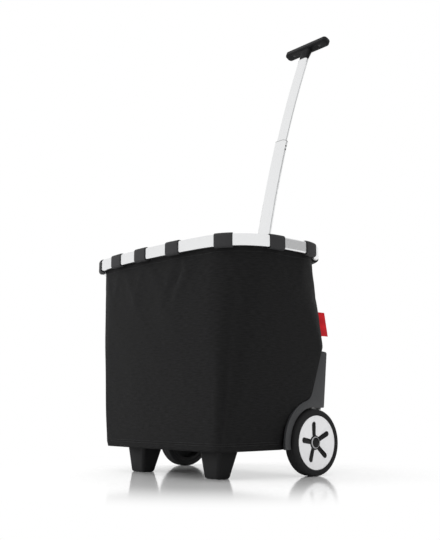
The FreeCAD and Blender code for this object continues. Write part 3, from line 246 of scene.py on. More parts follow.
class Outline:
    """A closed plan outline of tangent arcs, anticlockwise from the middle of the front."""

    def __init__(self, width, front, back, side_bow, front_bow, back_bow, corner, back_corner):
        half = width / 2
        middle = (front + back) / 2
        depth = (back - front) / 2
        turns = []
        for bow, radius in ((front_bow, corner), (back_bow, back_corner)):
            x, y = tangent_corner(half, depth, bow, side_bow, radius)
            turns.append((x, y, math.atan2(y - depth + bow, x), math.atan2(y, x - half + side_bow)))
        (fx, fy, front_turn, front_side), (bx, by, back_turn, back_side) = turns
        full = math.pi
        side = half - side_bow
        front_y = front + front_bow
        self.arcs = [
            (0, front_y, front_bow, -full / 2, -front_turn),
            (fx, middle - fy, corner, -front_turn, -front_side),
            (side, middle, side_bow, -front_side, back_side),
            (bx, middle + by, back_corner, back_side, back_turn),
            (0, back - back_bow, back_bow, back_turn, full - back_turn),
            (-bx, middle + by, back_corner, full - back_turn, full - back_side),
            (-side, middle, side_bow, full - back_side, full + front_side),
            (-fx, middle - fy, corner, full + front_side, full + front_turn),
            (0, front_y, front_bow, full + front_turn, 1.5 * full)]

    def points(self, steps, inset=0.0):
        """(x, y, outward direction) at even steps along each arc, without the last point."""
        made = []
        for (x, y, radius, start, end), count in zip(self.arcs, steps):
            for index in range(count):
                turn = start + (end - start) * index / count
                way = Vector((math.cos(turn), math.sin(turn), 0))
                made.append((Vector((x, y, 0)) + way * (radius - inset), way))
        return made

    def length(self, *indices):
        return sum(self.arcs[i][2] * (self.arcs[i][4] - self.arcs[i][3]) for i in indices)

    def walk(self, distance):
        """The point and outward direction at a distance round the outline from the front's middle."""
        left = distance % self.length(*range(9))
        for index, (x, y, radius, start, end) in enumerate(self.arcs):
            if left <= self.length(index):
                break
            left -= self.length(index)
        turn = start + left / radius
        way = Vector((math.cos(turn), math.sin(turn), 0))
        return Vector((x, y, 0)) + way * radius, way


rim_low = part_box("rim_front_rail")[0]
rim_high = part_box("rim_back_rail")[1]
RIM_BOW = 1.350
RIM_SIDE_BOW = 1.500
RIM_CORNER = 0.110
RIM_THICK = 0.010
rim = Outline(rim_high.x - rim_low.x, rim_low.y, rim_high.y, RIM_SIDE_BOW, RIM_BOW, RIM_BOW,
              RIM_CORNER, RIM_CORNER)

# ---- The webbing loops ----
# Thirteen short straps of flat polyester webbing go round the rim and are sewn to the inside of the
# bag's hem. They carry the bag and what is in it.

webbing = Finish("webbing", (0.03, 0.03, 0.031), 0.75, Specular_IOR_Level=0.25)
ribs = webbing.waves(0.0016, "X")
picks = webbing.waves(0.0011, "Y")
webbing_height = ribs * 0.6 + picks * 0.4
webbing.set("Base Color", webbing.blend(webbing_height, (0.010, 0.010, 0.0105), (0.042, 0.042, 0.044)))
webbing.bump(webbing_height, 0.0003, 0.8)

LOOP_WIDTH = 0.036
LOOP_THICK = 0.0013
FRONT_LOOPS = (-0.113, -0.024, 0.078)
SIDE_LOOPS = (-0.039, 0.059)
BACK_LOOP_X = 0.080
HEM_INSET = 0.0150
HEM_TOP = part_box("bag_front")[1].z

corner_station = rim.length(0) + 0.28 * rim.length(1)
side_station = rim.length(0, 1) + rim.length(2) / 2
half_way = rim.length(0, 1, 2, 3) + rim.length(4) / 2
right_stations = [corner_station] + [side_station + step for step in SIDE_LOOPS]
right_stations += [half_way - corner_station, half_way - BACK_LOOP_X]
loop_stations = list(FRONT_LOOPS) + right_stations + [-place for place in right_stations]


def band_path():
    """The strap's path round the rim's section, as (outward, up) from the rim's outer top edge."""
    low = rim_low.z - 0.0011
    high = rim_high.z + 0.0007
    out = 0.0008
    inner = -RIM_THICK - 0.0008
    bend = 0.0042
    path = []
    for corner_x, corner_z, start in ((out - bend, high - bend, 90), (out - bend, low + bend, 0),
                                      (inner + bend, low + bend, -90), (inner + bend, high - bend, -180)):
        for step in range(5):
            turn = math.radians(start - 22.5 * step)
            path.append((corner_x + bend * math.cos(turn), corner_z + bend * math.sin(turn)))
    return path


def tail_path():
    """The strap's end: from the rim's inner side over the hem and down inside the bag."""
    return [(-RIM_THICK - 0.0018, rim_high.z - 0.006), (-RIM_THICK - 0.0019, HEM_TOP + 0.007),
            (-HEM_INSET + 0.0012, HEM_TOP + 0.0030), (-HEM_INSET - 0.0010, HEM_TOP + 0.0024),
            (-HEM_INSET - 0.0036, HEM_TOP + 0.0010), (-HEM_INSET - 0.0045, HEM_TOP - 0.004),
            (-HEM_INSET - 0.0062, HEM_TOP - 0.014), (-HEM_INSET - 0.0078, HEM_TOP - 0.024)]


def strap(mesh, uv, station, path, closed, width):
    """One strip of webbing across the rim's curve at a station, following a path in its section."""
    across = 8
    rows = []
    for out, up in path:
        row = []
        for column in range(across + 1):
            share = column / across - 0.5
            point, way = rim.walk(station + share * width)
            edge = 0.0004 * (abs(share) * 2) ** 6
            row.append(mesh.verts.new(point + way * (out - edge) + Vector((0, 0, up))))
        rows.append(row)
    if closed:
        rows.append(rows[0])
    travel = 0.0
    for before, after in zip(rows, rows[1:]):
        step = (after[0].co - before[0].co).length
        for column in range(across):
            face = mesh.faces.new((before[column], after[column], after[column + 1], before[column + 1]))
            for loop, (c, t) in zip(face.loops, ((column, 0), (column, 1), (column + 1, 1), (column + 1, 0))):
                loop[uv].uv = (c * width / across, travel + t * step)
        travel += step


strap_mesh = bmesh.new()
strap_uv = strap_mesh.loops.layers.uv.new("cloth")
for index, station in enumerate(loop_stations):
    skew = 0.0012 * math.sin(index * 2.4)
    strap(strap_mesh, strap_uv, station + skew, band_path(), True, LOOP_WIDTH)
    strap(strap_mesh, strap_uv, station + skew, tail_path(), False, LOOP_WIDTH - 0.001)
bmesh.ops.recalc_face_normals(strap_mesh, faces=strap_mesh.faces)
strap_data = bpy.data.meshes.new("webbing_loops")
strap_mesh.to_mesh(strap_data)
webbing_loops = shown("webbing_loops", strap_data, webbing)
thick = webbing_loops.modifiers.new("thickness", "SOLIDIFY")
thick.thickness = LOOP_THICK
thick.offset = 1.0
round_edge = webbing_loops.modifiers.new("edges", "BEVEL")
round_edge.width = 0.0004
round_edge.segments = 2
round_edge.limit_method = "ANGLE"
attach(webbing_loops, "basket")
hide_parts("rim_loops")


def cut_size(data):
    """A panel's flat size and its area, measured in its own cloth coordinates."""
    places = [loop.uv for loop in data.uv_layers["cloth"].data]
    area = 0.0
    for face in data.polygons:
        corners = [places[index] for index in face.loop_indices]
        turned = corners[1:] + corners[:1]
        area += abs(sum(a.x * b.y - b.x * a.y for a, b in zip(corners, turned))) / 2
    across = [place.x for place in places]
    along = [place.y for place in places]
    return (max(across) - min(across), max(along) - min(along)), area


strap_area = cut_size(strap_data)[1]
strap_area / LOOP_WIDTH

# ---- The bag ----
# Coated plain-weave polyester, cut as a front, two sides, a flat back and a cover over the pole's
# fixed tube, sewn along the corners. It hangs from the loops and is clamped round the tray below.

fabric = Finish("bag_fabric", (0.006, 0.006, 0.0063), 0.7, Specular_IOR_Level=0.08)
warp = fabric.waves(0.0009, "X")
weft = fabric.waves(0.0009, "Y")
weave = warp * weft + (1 - warp) * (1 - weft)
mottle = fabric.grain(700.0, 2.0)
slubs = (fabric.grain(1.0, 3.0, (75, 520, 1), uv=True) - 0.5) * 1.7 + 0.5
fabric_tone = weave * 0.25 + mottle * 0.20 + slubs * 0.55
fabric.set("Base Color", fabric.blend(fabric_tone, (0.0008, 0.0008, 0.0008), (0.0170, 0.0170, 0.0175)))
fabric.set("Roughness", mottle * 0.15 + 0.60)
fabric.bump(weave * 0.6 + mottle * 0.2 + slubs * 0.4, 0.0003, 0.7)

CLOTH_THICK = 0.0011
CLOTH_STEP = 0.0045
COLUMN_PITCH = 0.0042
HEM_PULL = 0.0012
HEM_LIFT = 0.0008
FOOT_TUCK = 0.0022
BAG_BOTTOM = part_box("bag_front")[0].z
COVER_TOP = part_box("bag_rear_cover")[1].z
BAG_FOOT_WIDTH = 0.376
BAG_FOOT_FRONT = rim_low.y + 0.0262
BAG_FOOT_CORNER = 0.028
BAG_FOOT_BOW = 4.0
BAG_FOOT_SIDE_BOW = 3.0
BACKS = ((BAG_BOTTOM, rim_high.y - 0.014, BAG_FOOT_BOW, BAG_FOOT_CORNER),
         (0.243, rim_high.y + 0.002, 3.0, 0.028),
         (COVER_TOP, rim_high.y + 0.014, 0.850, 0.102),
         (HEM_TOP + 0.001, rim_high.y - HEM_INSET, RIM_BOW, RIM_CORNER - HEM_INSET))


def between(low, high, share):
    return low + (high - low) * share


def bag_outline(z):
    """The bag's outside at a height, as it is cut: a straight taper, and a bulge over the pole."""
    share = (z - BAG_BOTTOM) / (HEM_TOP - BAG_BOTTOM)
    below, above = [pair for pair in zip(BACKS, BACKS[1:]) if pair[0][0] <= z + 0.00001][-1]
    rise = (z - below[0]) / (above[0] - below[0])
    back, back_bow, back_corner = [between(a, b, rise) for a, b in zip(below[1:], above[1:])]
    return Outline(between(BAG_FOOT_WIDTH, rim_high.x - rim_low.x - 2 * HEM_INSET, share),
                   between(BAG_FOOT_FRONT, rim_low.y + HEM_INSET, share), back,
                   between(BAG_FOOT_SIDE_BOW, RIM_SIDE_BOW, share),
                   between(BAG_FOOT_BOW, RIM_BOW, share), back_bow,
                   between(BAG_FOOT_CORNER, RIM_CORNER - HEM_INSET, share), back_corner)


axle_low, axle_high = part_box("axle")
AXLE_Y = (axle_low.y + axle_high.y) / 2
AXLE_Z = (axle_low.z + axle_high.z) / 2
ARCH_RADIUS = 0.0827
ARCH_TUCK = 0.0045
ARCH_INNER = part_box("wheel_arch_right")[0].x
TAIL_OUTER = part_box("wheel_arch_right")[1].x
TAIL_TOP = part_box("wheel_arch_right")[1].z
TAIL_FRONT_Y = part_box("wheel_arch_right")[1].y - 0.0146
TAIL_LEAN = math.radians(20.4)
TAIL_FILLET = 0.025


def outside_arch(y, z):
    """How far a place in side view is outside the wheel arch's edge and its tail's front edge."""
    along = Vector((math.sin(TAIL_LEAN), math.cos(TAIL_LEAN)))
    across = Vector((-along.y, along.x))
    place = Vector((y - AXLE_Y, z - AXLE_Z))
    edge = Vector((TAIL_FRONT_Y - AXLE_Y, TAIL_TOP - AXLE_Z)).dot(across)
    reach = math.sqrt((ARCH_RADIUS + TAIL_FILLET) ** 2 - (edge + TAIL_FILLET) ** 2)
    fillet = across * (edge + TAIL_FILLET) + along * reach
    drum = place.length - ARCH_RADIUS
    tail = place.dot(across) - edge if place.dot(along) > 0 else 1.0
    beside = place.cross(fillet) > 0 and place.dot(across) < fillet.dot(across)
    inside_wedge = place.dot(along) < reach and beside
    gap = TAIL_FILLET - (place - fillet).length if inside_wedge else min(drum, tail)
    return max(gap, z - TAIL_TOP)


STEPS = (40, 34, 50, 34, 80, 34, 50, 34, 40)
COLUMNS = sum(STEPS)
SEAM_BACK_RIGHT = sum(STEPS[:3]) + STEPS[3] // 2
SEAM_BACK_LEFT = sum(STEPS[:5]) + STEPS[5] // 2
SEAM_FRONT_RIGHT = STEPS[0] + STEPS[1] // 2
SEAM_FRONT_LEFT = sum(STEPS[:7]) + STEPS[7] // 2


def near(value, width):
    """1 at zero, falling smoothly to nothing a few widths away."""
    return math.exp(-(value / width) ** 2)


def station_gap(distance):
    """How far a place on the hem is from the nearest loop, from 0 at a loop to 1 between two."""
    total = rim.length(*range(9))
    gaps = [abs((distance - place + total / 2) % total - total / 2) for place in loop_stations]
    return min(1.0, min(gaps) / 0.048)


CORNER_MIDDLE = rim.length(0) + rim.length(1) / 2


def drape(distance, z, seam_gap):
    """How far the cloth stands off its cut shape: folds that run down from the loops, a slack
    middle, and puckers along the seams."""
    top = (HEM_TOP - z) / (HEM_TOP - BAG_BOTTOM)
    push = 0.0
    for index, place in enumerate(loop_stations[:3] + loop_stations[3:6] + loop_stations[8:11]):
        for side, lean, length in ((1, 0.55, 0.10), (-1, 0.40, 0.075)):
            reach = length * (1 + 0.35 * math.sin(index * 1.7 + side))
            drop = HEM_TOP - z
            line = place + side * (0.006 + lean * drop)
            push += 0.0014 * near(distance - line, 0.007 + 0.12 * drop) * near(drop - 0.015, reach)
    drop = HEM_TOP - z
    push += 0.0036 * near(distance - 0.128 + 0.62 * drop, 0.011 + 0.09 * drop) * near(drop - 0.040, 0.050)
    push -= 0.0026 * near(distance - 0.106 + 0.62 * drop, 0.010 + 0.06 * drop) * near(drop - 0.045, 0.040)
    corner = abs(distance) - CORNER_MIDDLE
    low_sag = top * (1 - near((z - BAG_BOTTOM) / 0.060, 1.0))
    push += 0.0040 * low_sag * (near(corner + 0.036, 0.020) - near(corner + 0.002, 0.015))
    slack = noise.noise(Vector((distance * 5.0, z * 3.4, 0.7))) * 0.0034
    slack += noise.noise(Vector((distance * 13.0 + z * 9.0, z * 7.0 - distance * 3.0, 4.1))) * 0.0011
    push += slack * math.sin(math.pi * min(1.0, max(0.0, top)))
    pucker = noise.noise(Vector((z * 60.0, distance * 9.0, 2.0)))
    push -= 0.0006 * near(seam_gap, 0.005)
    push += 0.0007 * pucker * near(seam_gap, 0.018)
    return push


def cloth_point(ring, column, z, hem, stand=0.0):
    """Where the draped cloth is at a column of its outline, or a little off it."""
    point, way = ring[column % COLUMNS]
    station = rim_ring[column % COLUMNS]
    signed = station if station < half_way else station - 2 * half_way
    seam_gap = min(abs(column - seam) for seam in SEAMS) * COLUMN_PITCH
    gap = station_gap(station)
    to_hem = near((hem - z) / 0.030, 1.0)
    to_foot = near((z - BAG_BOTTOM) / 0.006, 1.0)
    push = drape(signed, z, seam_gap) * (1 - to_hem) * (1 - to_foot)
    push += HEM_PULL * (1 - gap ** 2) * to_hem - FOOT_TUCK * to_foot
    place = point + way * push
    tucked = TAIL_OUTER - 0.0025 + 1.2 * max(0.0, outside_arch(place.y, z))
    if place.y > AXLE_Y - 0.12:
        place.x = max(-tucked, min(tucked, place.x))
    return place + way * stand + Vector((0, 0, z - HEM_LIFT * gap ** 2 * to_hem))


def woven(name, mesh, rows, flipped=False, covered=None):
    """Fill a grid of (vert, across, up) with faces that carry their cloth coordinates."""
    uv = mesh.loops.layers.uv.new("cloth")
    for below, over in zip(rows, rows[1:]):
        for column in range(len(below) - 1):
            corners = (below[column], below[column + 1], over[column + 1], over[column])
            if flipped:
                corners = (corners[0], corners[3], corners[2], corners[1])
            middle = sum((corner[0].co for corner in corners), Vector()) / 4
            if covered and covered(middle):
                continue
            face = mesh.faces.new([corner[0] for corner in corners])
            for loop, corner in zip(face.loops, corners):
                loop[uv].uv = (corner[1], corner[2])
    loose = [vert for vert in mesh.verts if not vert.link_faces]
    bmesh.ops.delete(mesh, geom=loose, context="VERTS")
    data = bpy.data.meshes.new(name)
    mesh.to_mesh(data)
    return data


def under_arch(middle):
    """Whether a bit of cloth is tucked out of sight behind a wheel arch."""
    inner = TAIL_OUTER - 0.011 if middle.z > AXLE_Z + ARCH_RADIUS else ARCH_INNER
    return abs(middle.x) > inner and outside_arch(middle.y, middle.z) < -ARCH_TUCK


def cloth_surface(name, first, last, levels, hem):
    """A strip of the bag between two columns of its outline, draped, with its cloth coordinates."""
    mesh = bmesh.new()
    rows = []
    for z in levels:
        outline = bag_outline(z)
        ring = outline.points(STEPS)
        row = []
        travel = 0.0
        for column in range(first, last + 1):
            point = ring[column % COLUMNS][0]
            following = ring[(column + 1) % COLUMNS][0]
            place = cloth_point(ring, column, z, hem)
            row.append((mesh.verts.new(place), travel, z))
            travel += (following - point).length
        rows.append(row)
    return woven(name, mesh, rows, covered=under_arch)


SEAMS = (SEAM_FRONT_RIGHT, SEAM_BACK_RIGHT, SEAM_BACK_LEFT, SEAM_FRONT_LEFT,
         SEAM_BACK_RIGHT - COLUMNS, SEAM_BACK_LEFT - COLUMNS, SEAM_FRONT_LEFT - COLUMNS)
rim_ring = []
for arc, count in enumerate(STEPS):
    start = rim.length(*range(arc))
    rim_ring += [start + rim.length(arc) * index / count for index in range(count)]


def heights(low, high, pitch):
    count = round((high - low) / pitch)
    return [low + (high - low) * index / count for index in range(count + 1)]


def fabric_piece(name, data, replaced):
    """A cloth panel with the fabric's thickness, in place of its CAD nodes."""
    piece = shown(name, data, fabric)
    wall = piece.modifiers.new("wall", "SOLIDIFY")
    wall.thickness = CLOTH_THICK
    wall.offset = -1.0
    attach(piece, "basket")
    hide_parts(*replaced)
    return piece


bag_data = cloth_surface("bag_shell", SEAM_BACK_LEFT - COLUMNS, SEAM_BACK_RIGHT,
                         heights(BAG_BOTTOM, HEM_TOP, CLOTH_STEP), HEM_TOP)
bag_shell = fabric_piece("bag_shell", bag_data, ("bag_front", "bag_right_side", "bag_left_side"))
cover_data = cloth_surface("rear_cover", SEAM_BACK_RIGHT, SEAM_BACK_LEFT,
                           heights(BAG_BOTTOM, COVER_TOP, CLOTH_STEP), COVER_TOP)
rear_cover = fabric_piece("rear_cover", cover_data, ("bag_rear_cover",))


def back_wall():
    """The bag's flat back, hung from the back loops in front of the pole."""
    low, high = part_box("bag_back")
    tilt = (high.y - low.y - 0.0025) / (high.z - low.z)
    mesh = bmesh.new()
    rows = []
    levels = heights(low.z, HEM_TOP, 0.009)
    for z in levels:
        share = (z - BAG_BOTTOM) / (HEM_TOP - BAG_BOTTOM)
        y = low.y + 0.0025 + tilt * (z - low.z)
        edge = max(point.x for point, _ in bag_outline(z).points(STEPS, 0.0016) if point.y > y - 0.004)
        if z < AXLE_Z + ARCH_RADIUS:
            edge = ARCH_INNER - 0.001
        row = []
        for column in range(61):
            x = edge * (column / 30 - 1)
            ripple = 0.0020 * noise.noise(Vector((x * 9, z * 6, 8.0)))
            ripple -= 0.0025 * (1 - (x / edge) ** 2) * share
            sag = -0.004 * near((HEM_TOP - z) / 0.03, 1.0) * math.sin(x * 30) ** 2
            row.append((mesh.verts.new((x, y + ripple, z + sag)), x, z))
        rows.append(row)
    return woven("bag_back_wall", mesh, rows, flipped=True)


back_piece = fabric_piece("bag_back_wall", back_wall(), ("bag_back",))


def bottom_cloth():
    """The bag's bottom, between the tray and the board, a little slack."""
    low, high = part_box("bag_bottom")
    mesh = bmesh.new()
    rows = []
    for index in range(41):
        y = between(low.y + 0.0005, high.y, index / 40)
        arch = math.sqrt(max(0.0, 0.0722 ** 2 - (high.z - AXLE_Z) ** 2))
        corner = max(0.0, 0.026 - (y - low.y))
        half = high.x - 0.0012 - (0.026 - math.sqrt(max(0.0, 0.026 ** 2 - corner ** 2)))
        if abs(y - AXLE_Y) < arch:
            half = min(half, ARCH_INNER - 0.0008)
        row = []
        for column in range(61):
            x = half * (column / 30 - 1)
            wave = 0.0003 * noise.noise(Vector((x * 30, y * 30, 1.0)))
            row.append((mesh.verts.new((x, y, high.z - 0.0004 + wave)), x, y))
        rows.append(row)
    return woven("bag_bottom_cloth", mesh, rows)


bottom_piece = fabric_piece("bag_bottom_cloth", bottom_cloth(), ("bag_bottom",))

for piece, held, under in ((bag_shell, "hung", "webbing_loops"), (rear_cover, "stretched", "bag_shell"),
                           (back_piece, "hung", "webbing_loops"), (bottom_piece, "laid", "base_tray")):
    flat, area = cut_size(piece.data)

# ---- Stitching ----
# Black polyester thread: a double row round the foot hem, one row below the rim, a row down each
# back seam and two along the rear cover's top edge.

thread = Finish("thread", (0.02, 0.02, 0.021), 0.55, Specular_IOR_Level=0.3)
twist = thread.waves(0.0012, "DIAGONAL", uv=False)
thread.set("Base Color", thread.blend(twist, (0.012, 0.012, 0.0125), (0.04, 0.04, 0.041)))
thread.bump(twist, 0.0001, 0.5)


def stitch_tree(finish):
    """A node tree that lays one short stitch at each even step along edges."""
    tree = bpy.data.node_groups.new("stitch_rows", "GeometryNodeTree")
    sockets = {}
    for name, kind in (("Geometry", "NodeSocketGeometry"), ("Pitch", "NodeSocketFloat"),
                       ("Length", "NodeSocketFloat"), ("Thickness", "NodeSocketFloat"),
                       ("Seed", "NodeSocketInt")):
        sockets[name] = tree.interface.new_socket(name, in_out="INPUT", socket_type=kind).identifier
    tree.interface.new_socket("Geometry", in_out="OUTPUT", socket_type="NodeSocketGeometry")

    def made(kind, **settings):
        node = tree.nodes.new(kind)
        for name, value in settings.items():
            setattr(node, name, value)
        return node

    given = made("NodeGroupInput")
    result = made("NodeGroupOutput")
    to_curve = made("GeometryNodeMeshToCurve")
    resample = made("GeometryNodeResampleCurve", mode="LENGTH")
    ball = made("GeometryNodeMeshIcoSphere")
    ball.inputs["Subdivisions"].default_value = 1
    ball.inputs["Radius"].default_value = 0.5
    shape = made("ShaderNodeCombineXYZ")
    tangent = made("GeometryNodeInputTangent")
    turn = made("FunctionNodeAlignRotationToVector", axis="X")
    wobble = made("FunctionNodeRandomValue", data_type="FLOAT")
    wobble.inputs[2].default_value = 0.92
    wobble.inputs[3].default_value = 1.06
    scaled = made("ShaderNodeVectorMath", operation="SCALE")
    place = made("GeometryNodeInstanceOnPoints")
    realize = made("GeometryNodeRealizeInstances")
    paint = made("GeometryNodeSetMaterial")
    paint.inputs["Material"].default_value = finish.material
    for source, target in (
            (given.outputs["Geometry"], to_curve.inputs["Mesh"]),
            (to_curve.outputs["Curve"], resample.inputs["Curve"]),
            (given.outputs["Pitch"], resample.inputs["Length"]),
            (given.outputs["Length"], shape.inputs["X"]),
            (given.outputs["Thickness"], shape.inputs["Y"]),
            (given.outputs["Thickness"], shape.inputs["Z"]),
            (given.outputs["Seed"], wobble.inputs["Seed"]),
            (tangent.outputs["Tangent"], turn.inputs["Vector"]),
            (shape.outputs["Vector"], scaled.inputs["Vector"]),
            (wobble.outputs[1], scaled.inputs["Scale"]),
            (resample.outputs["Curve"], place.inputs["Points"]),
            (ball.outputs["Mesh"], place.inputs["Instance"]),
            (turn.outputs["Rotation"], place.inputs["Rotation"]),
            (scaled.outputs["Vector"], place.inputs["Scale"]),
            (place.outputs["Instances"], realize.inputs["Geometry"]),
            (realize.outputs["Geometry"], paint.inputs["Geometry"]),
            (paint.outputs["Geometry"], result.inputs["Geometry"])):
        tree.links.new(source, target)
    return tree, sockets


def stitched(name, rows, settings, body):
    """Stitches along rows of points, as one plain mesh."""
    tree, sockets = stitch_tree(thread)
    mesh = bmesh.new()
    for row in rows:
        verts = [mesh.verts.new(point) for point in row]
        for start, end in zip(verts, verts[1:]):
            mesh.edges.new((start, end))
    path = bpy.data.meshes.new(name + "_path")
    mesh.to_mesh(path)
    guide = bpy.data.objects.new(name + "_guide", path)
    bpy.context.scene.collection.objects.link(guide)
    rows_modifier = guide.modifiers.new("stitches", "NODES")
    rows_modifier.node_group = tree
    for key, value in settings.items():
        rows_modifier[sockets[key]] = value
    graph = bpy.context.evaluated_depsgraph_get()
    data = bpy.data.meshes.new_from_object(guide.evaluated_get(graph), depsgraph=graph)
    bpy.data.objects.remove(guide)
    data.name = name
    piece = shown(name, data, thread)
    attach(piece, body)
    return piece


def in_sight(place):
    return abs(place.x) < ARCH_INNER or outside_arch(place.y, place.z) > 0.002


def stitch_row(columns, z, hem):
    """Stretches of a level row of stitches, broken where the wheel arches cover the cloth."""
    ring = bag_outline(z).points(STEPS)
    rows = [[]]
    for column in columns:
        place = cloth_point(ring, column, z, hem, 0.0002)
        if in_sight(place):
            rows[-1].append(place)
        else:
            rows.append([])
    return [row for row in rows if len(row) > 2]


def seam_row(column):
    """A row of stitches down a seam, above the wheel arch."""
    levels = heights(TAIL_TOP + 0.004, COVER_TOP - 0.003, 0.004)
    return [cloth_point(bag_outline(z).points(STEPS), column, z, HEM_TOP, 0.0002) for z in levels]


shell_columns = range(SEAM_BACK_LEFT - COLUMNS + 1, SEAM_BACK_RIGHT)
cover_columns = range(SEAM_BACK_RIGHT + 1, SEAM_BACK_LEFT)
stitch_rows = [seam_row(SEAM_BACK_RIGHT - 2), seam_row(SEAM_BACK_LEFT + 2 - COLUMNS)]
for stitch_height in (BAG_BOTTOM + 0.011, BAG_BOTTOM + 0.015, HEM_TOP - 0.012):
    stitch_rows += stitch_row(shell_columns, stitch_height, HEM_TOP)
for stitch_height in (BAG_BOTTOM + 0.011, COVER_TOP - 0.004, COVER_TOP - 0.012):
    stitch_rows += stitch_row(cover_columns, stitch_height, COVER_TOP)
stitched("bag_stitches", stitch_rows,
         {"Pitch": 0.0036, "Length": 0.0028, "Thickness": 0.00055, "Seed": 4}, "basket")

board = Finish("stiffening_board", (0.03, 0.03, 0.031), 0.6)
board.bump(board.grain(1500.0, 2.0), 0.0001, 0.6)
board.set("Roughness", board.grain(60.0) * 0.2 + 0.5)
finished(board, "base_board")

# ---- The chassis ----
# Black moulded polypropylene: a ribbed tray that the bag is clamped to, a beam for the axle and the
# pole's foot, and two hollow feet screwed on from inside.

moulded = Finish("moulded_black", (0.010, 0.010, 0.0105), 0.5, Specular_IOR_Level=0.12)
pebble = moulded.node("ShaderNodeTexVoronoi", {"feature": "SMOOTH_F1"},
                      {"Vector": moulded.place(), "Scale": 1400.0})
moulded.set("Roughness", moulded.grain(40.0) * 0.14 + 0.42)
moulded.set("Base Color", moulded.blend(moulded.grain(25.0), (0.007, 0.007, 0.0075), (0.013, 0.013, 0.0135)))
moulded.bump(pebble, 0.00012, 0.5)


def softened(name, node, finish, body, width, angle=30, segments=2):
    """A CAD piece's shape with its sharp edges rounded, as a moulding or a casting has them."""
    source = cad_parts[node].data
    mesh = bmesh.new()
    mesh.from_mesh(source)
    bmesh.ops.remove_doubles(mesh, verts=mesh.verts, dist=0.00002)
    bmesh.ops.dissolve_limit(mesh, angle_limit=math.radians(1.0), verts=mesh.verts, edges=mesh.edges)
    data = bpy.data.meshes.new(name)
    mesh.to_mesh(data)
    piece = shown(name, data, finish)
    edges = piece.modifiers.new("edges", "BEVEL")
    edges.width = width
    edges.segments = segments
    edges.limit_method = "ANGLE"
    edges.angle_limit = math.radians(angle)
    edges.harden_normals = True
    edges.use_clamp_overlap = True
    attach(piece, body)
    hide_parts(node)
    return piece


for side in ("right", "left"):
    softened("front_foot_" + side, "foot_" + side, moulded, "basket", 0.0009)
finished(moulded, "base_tray", "axle_beam")
finished(zinc, "foot_screws", "beam_screws", "socket_screws")
blackened = Finish("blackened_steel", (0.012, 0.012, 0.0125), 0.5, Specular_IOR_Level=0.4)
blackened.set("Roughness", blackened.grain(500.0) * 0.2 + 0.4)
finished(blackened, "bracket_screws", "grip_screws")

# ---- The wheel arches ----
# Dark grey satin mouldings that box in the wheels and end in a tail behind each side of the bag.

grey = Finish("moulded_grey", (0.032, 0.033, 0.035), 0.42, Specular_IOR_Level=0.35)
grey.set("Roughness", grey.grain(30.0) * 0.12 + 0.34)
grey.set("Base Color", grey.blend(grey.grain(18.0), (0.028, 0.029, 0.031), (0.038, 0.039, 0.041)))
grey.bump(grey.node("ShaderNodeTexVoronoi", {"feature": "SMOOTH_F1"},
                    {"Vector": grey.place(), "Scale": 1700.0}), 0.00008, 0.4)
for side in ("right", "left"):
    softened("arch_" + side, "wheel_arch_" + side, grey, "basket", 0.0011, 30, 3)

# ---- The wheels ----
# A rubber tyre on a dished, silver-lacquered plastic disc with a gloss black five-armed inlay and a
# hub cap. Nylon bushes in the hub run on a steel axle with push-on clips.

rubber = Finish("tyre_rubber", (0.014, 0.014, 0.0145), 0.72, Specular_IOR_Level=0.12)
rubber.set("Roughness", rubber.grain(70.0) * 0.16 + 0.62)
wear = rubber.grain(35.0, 4.0)
rubber.set("Base Color", rubber.blend(wear, (0.009, 0.009, 0.0095), (0.022, 0.022, 0.0225)))
rubber.bump(rubber.grain(1300.0, 3.0), 0.00012, 0.6)

silver = Finish("silver_lacquer", (0.80, 0.80, 0.81), 0.32, Coat_Weight=0.4, Coat_Roughness=0.12)
silver.set("Base Color", silver.blend(silver.grain(2200.0, 2.0), (0.74, 0.74, 0.75), (0.86, 0.86, 0.87)))
silver.set("Roughness", silver.grain(30.0) * 0.1 + 0.3)

gloss = Finish("gloss_black", (0.004, 0.004, 0.0045), 0.16, Specular_IOR_Level=0.12)
gloss.set("Roughness", gloss.grain(50.0) * 0.08 + 0.12)
gloss.bump(gloss.grain(180.0), 0.00004, 0.3)

nylon = Finish("nylon", (0.62, 0.62, 0.60), 0.45)
nylon.set("Roughness", nylon.grain(200.0) * 0.2 + 0.35)

ring_metal = Finish("ring_lacquer", (0.42, 0.42, 0.43), 0.3, Metallic=0.6)
ring_metal.set("Roughness", ring_metal.grain(300.0) * 0.1 + 0.25)


def painted(piece, finish, chosen):
    """Give the faces that are chosen a second finish; out is the side that the wheel faces."""
    piece.data.materials.append(finish.material)
    out = 1 if piece.data.vertices[0].co.x > 0 else -1
    for face in piece.data.polygons:
        face.material_index = int(chosen(face, out))


def turned_inward(face, out):
    return out * face.normal.x < 0.3


def outer_ring(face, out):
    return math.hypot(face.center.y - AXLE_Y, face.center.z - AXLE_Z) > RING_INNER


RING_INNER = 0.0101
TREAD = 0.064
SEAT = 0.052
HALF_TYRE = 0.015
SHOULDER = 0.0062
GROOVE = -0.0042


def tyre_section():
    """The tyre's section as (across, radius): a seat, rounded shoulders and two shallow grooves."""
    section = [(-0.013, SEAT), (-0.0138, SEAT + 0.0010), (-HALF_TYRE, SEAT + 0.0025), (-HALF_TYRE, 0.0578)]
    for step in range(1, 6):
        turn = math.radians(180 - 18 * step)
        section.append((-HALF_TYRE + SHOULDER + SHOULDER * math.cos(turn),
                        TREAD - SHOULDER + SHOULDER * math.sin(turn)))
    section += [(GROOVE - 0.0014, TREAD), (GROOVE - 0.0009, TREAD - 0.0009),
                (GROOVE + 0.0009, TREAD - 0.0009), (GROOVE + 0.0014, TREAD)]
    return section + [(-across, radius) for across, radius in reversed(section)]


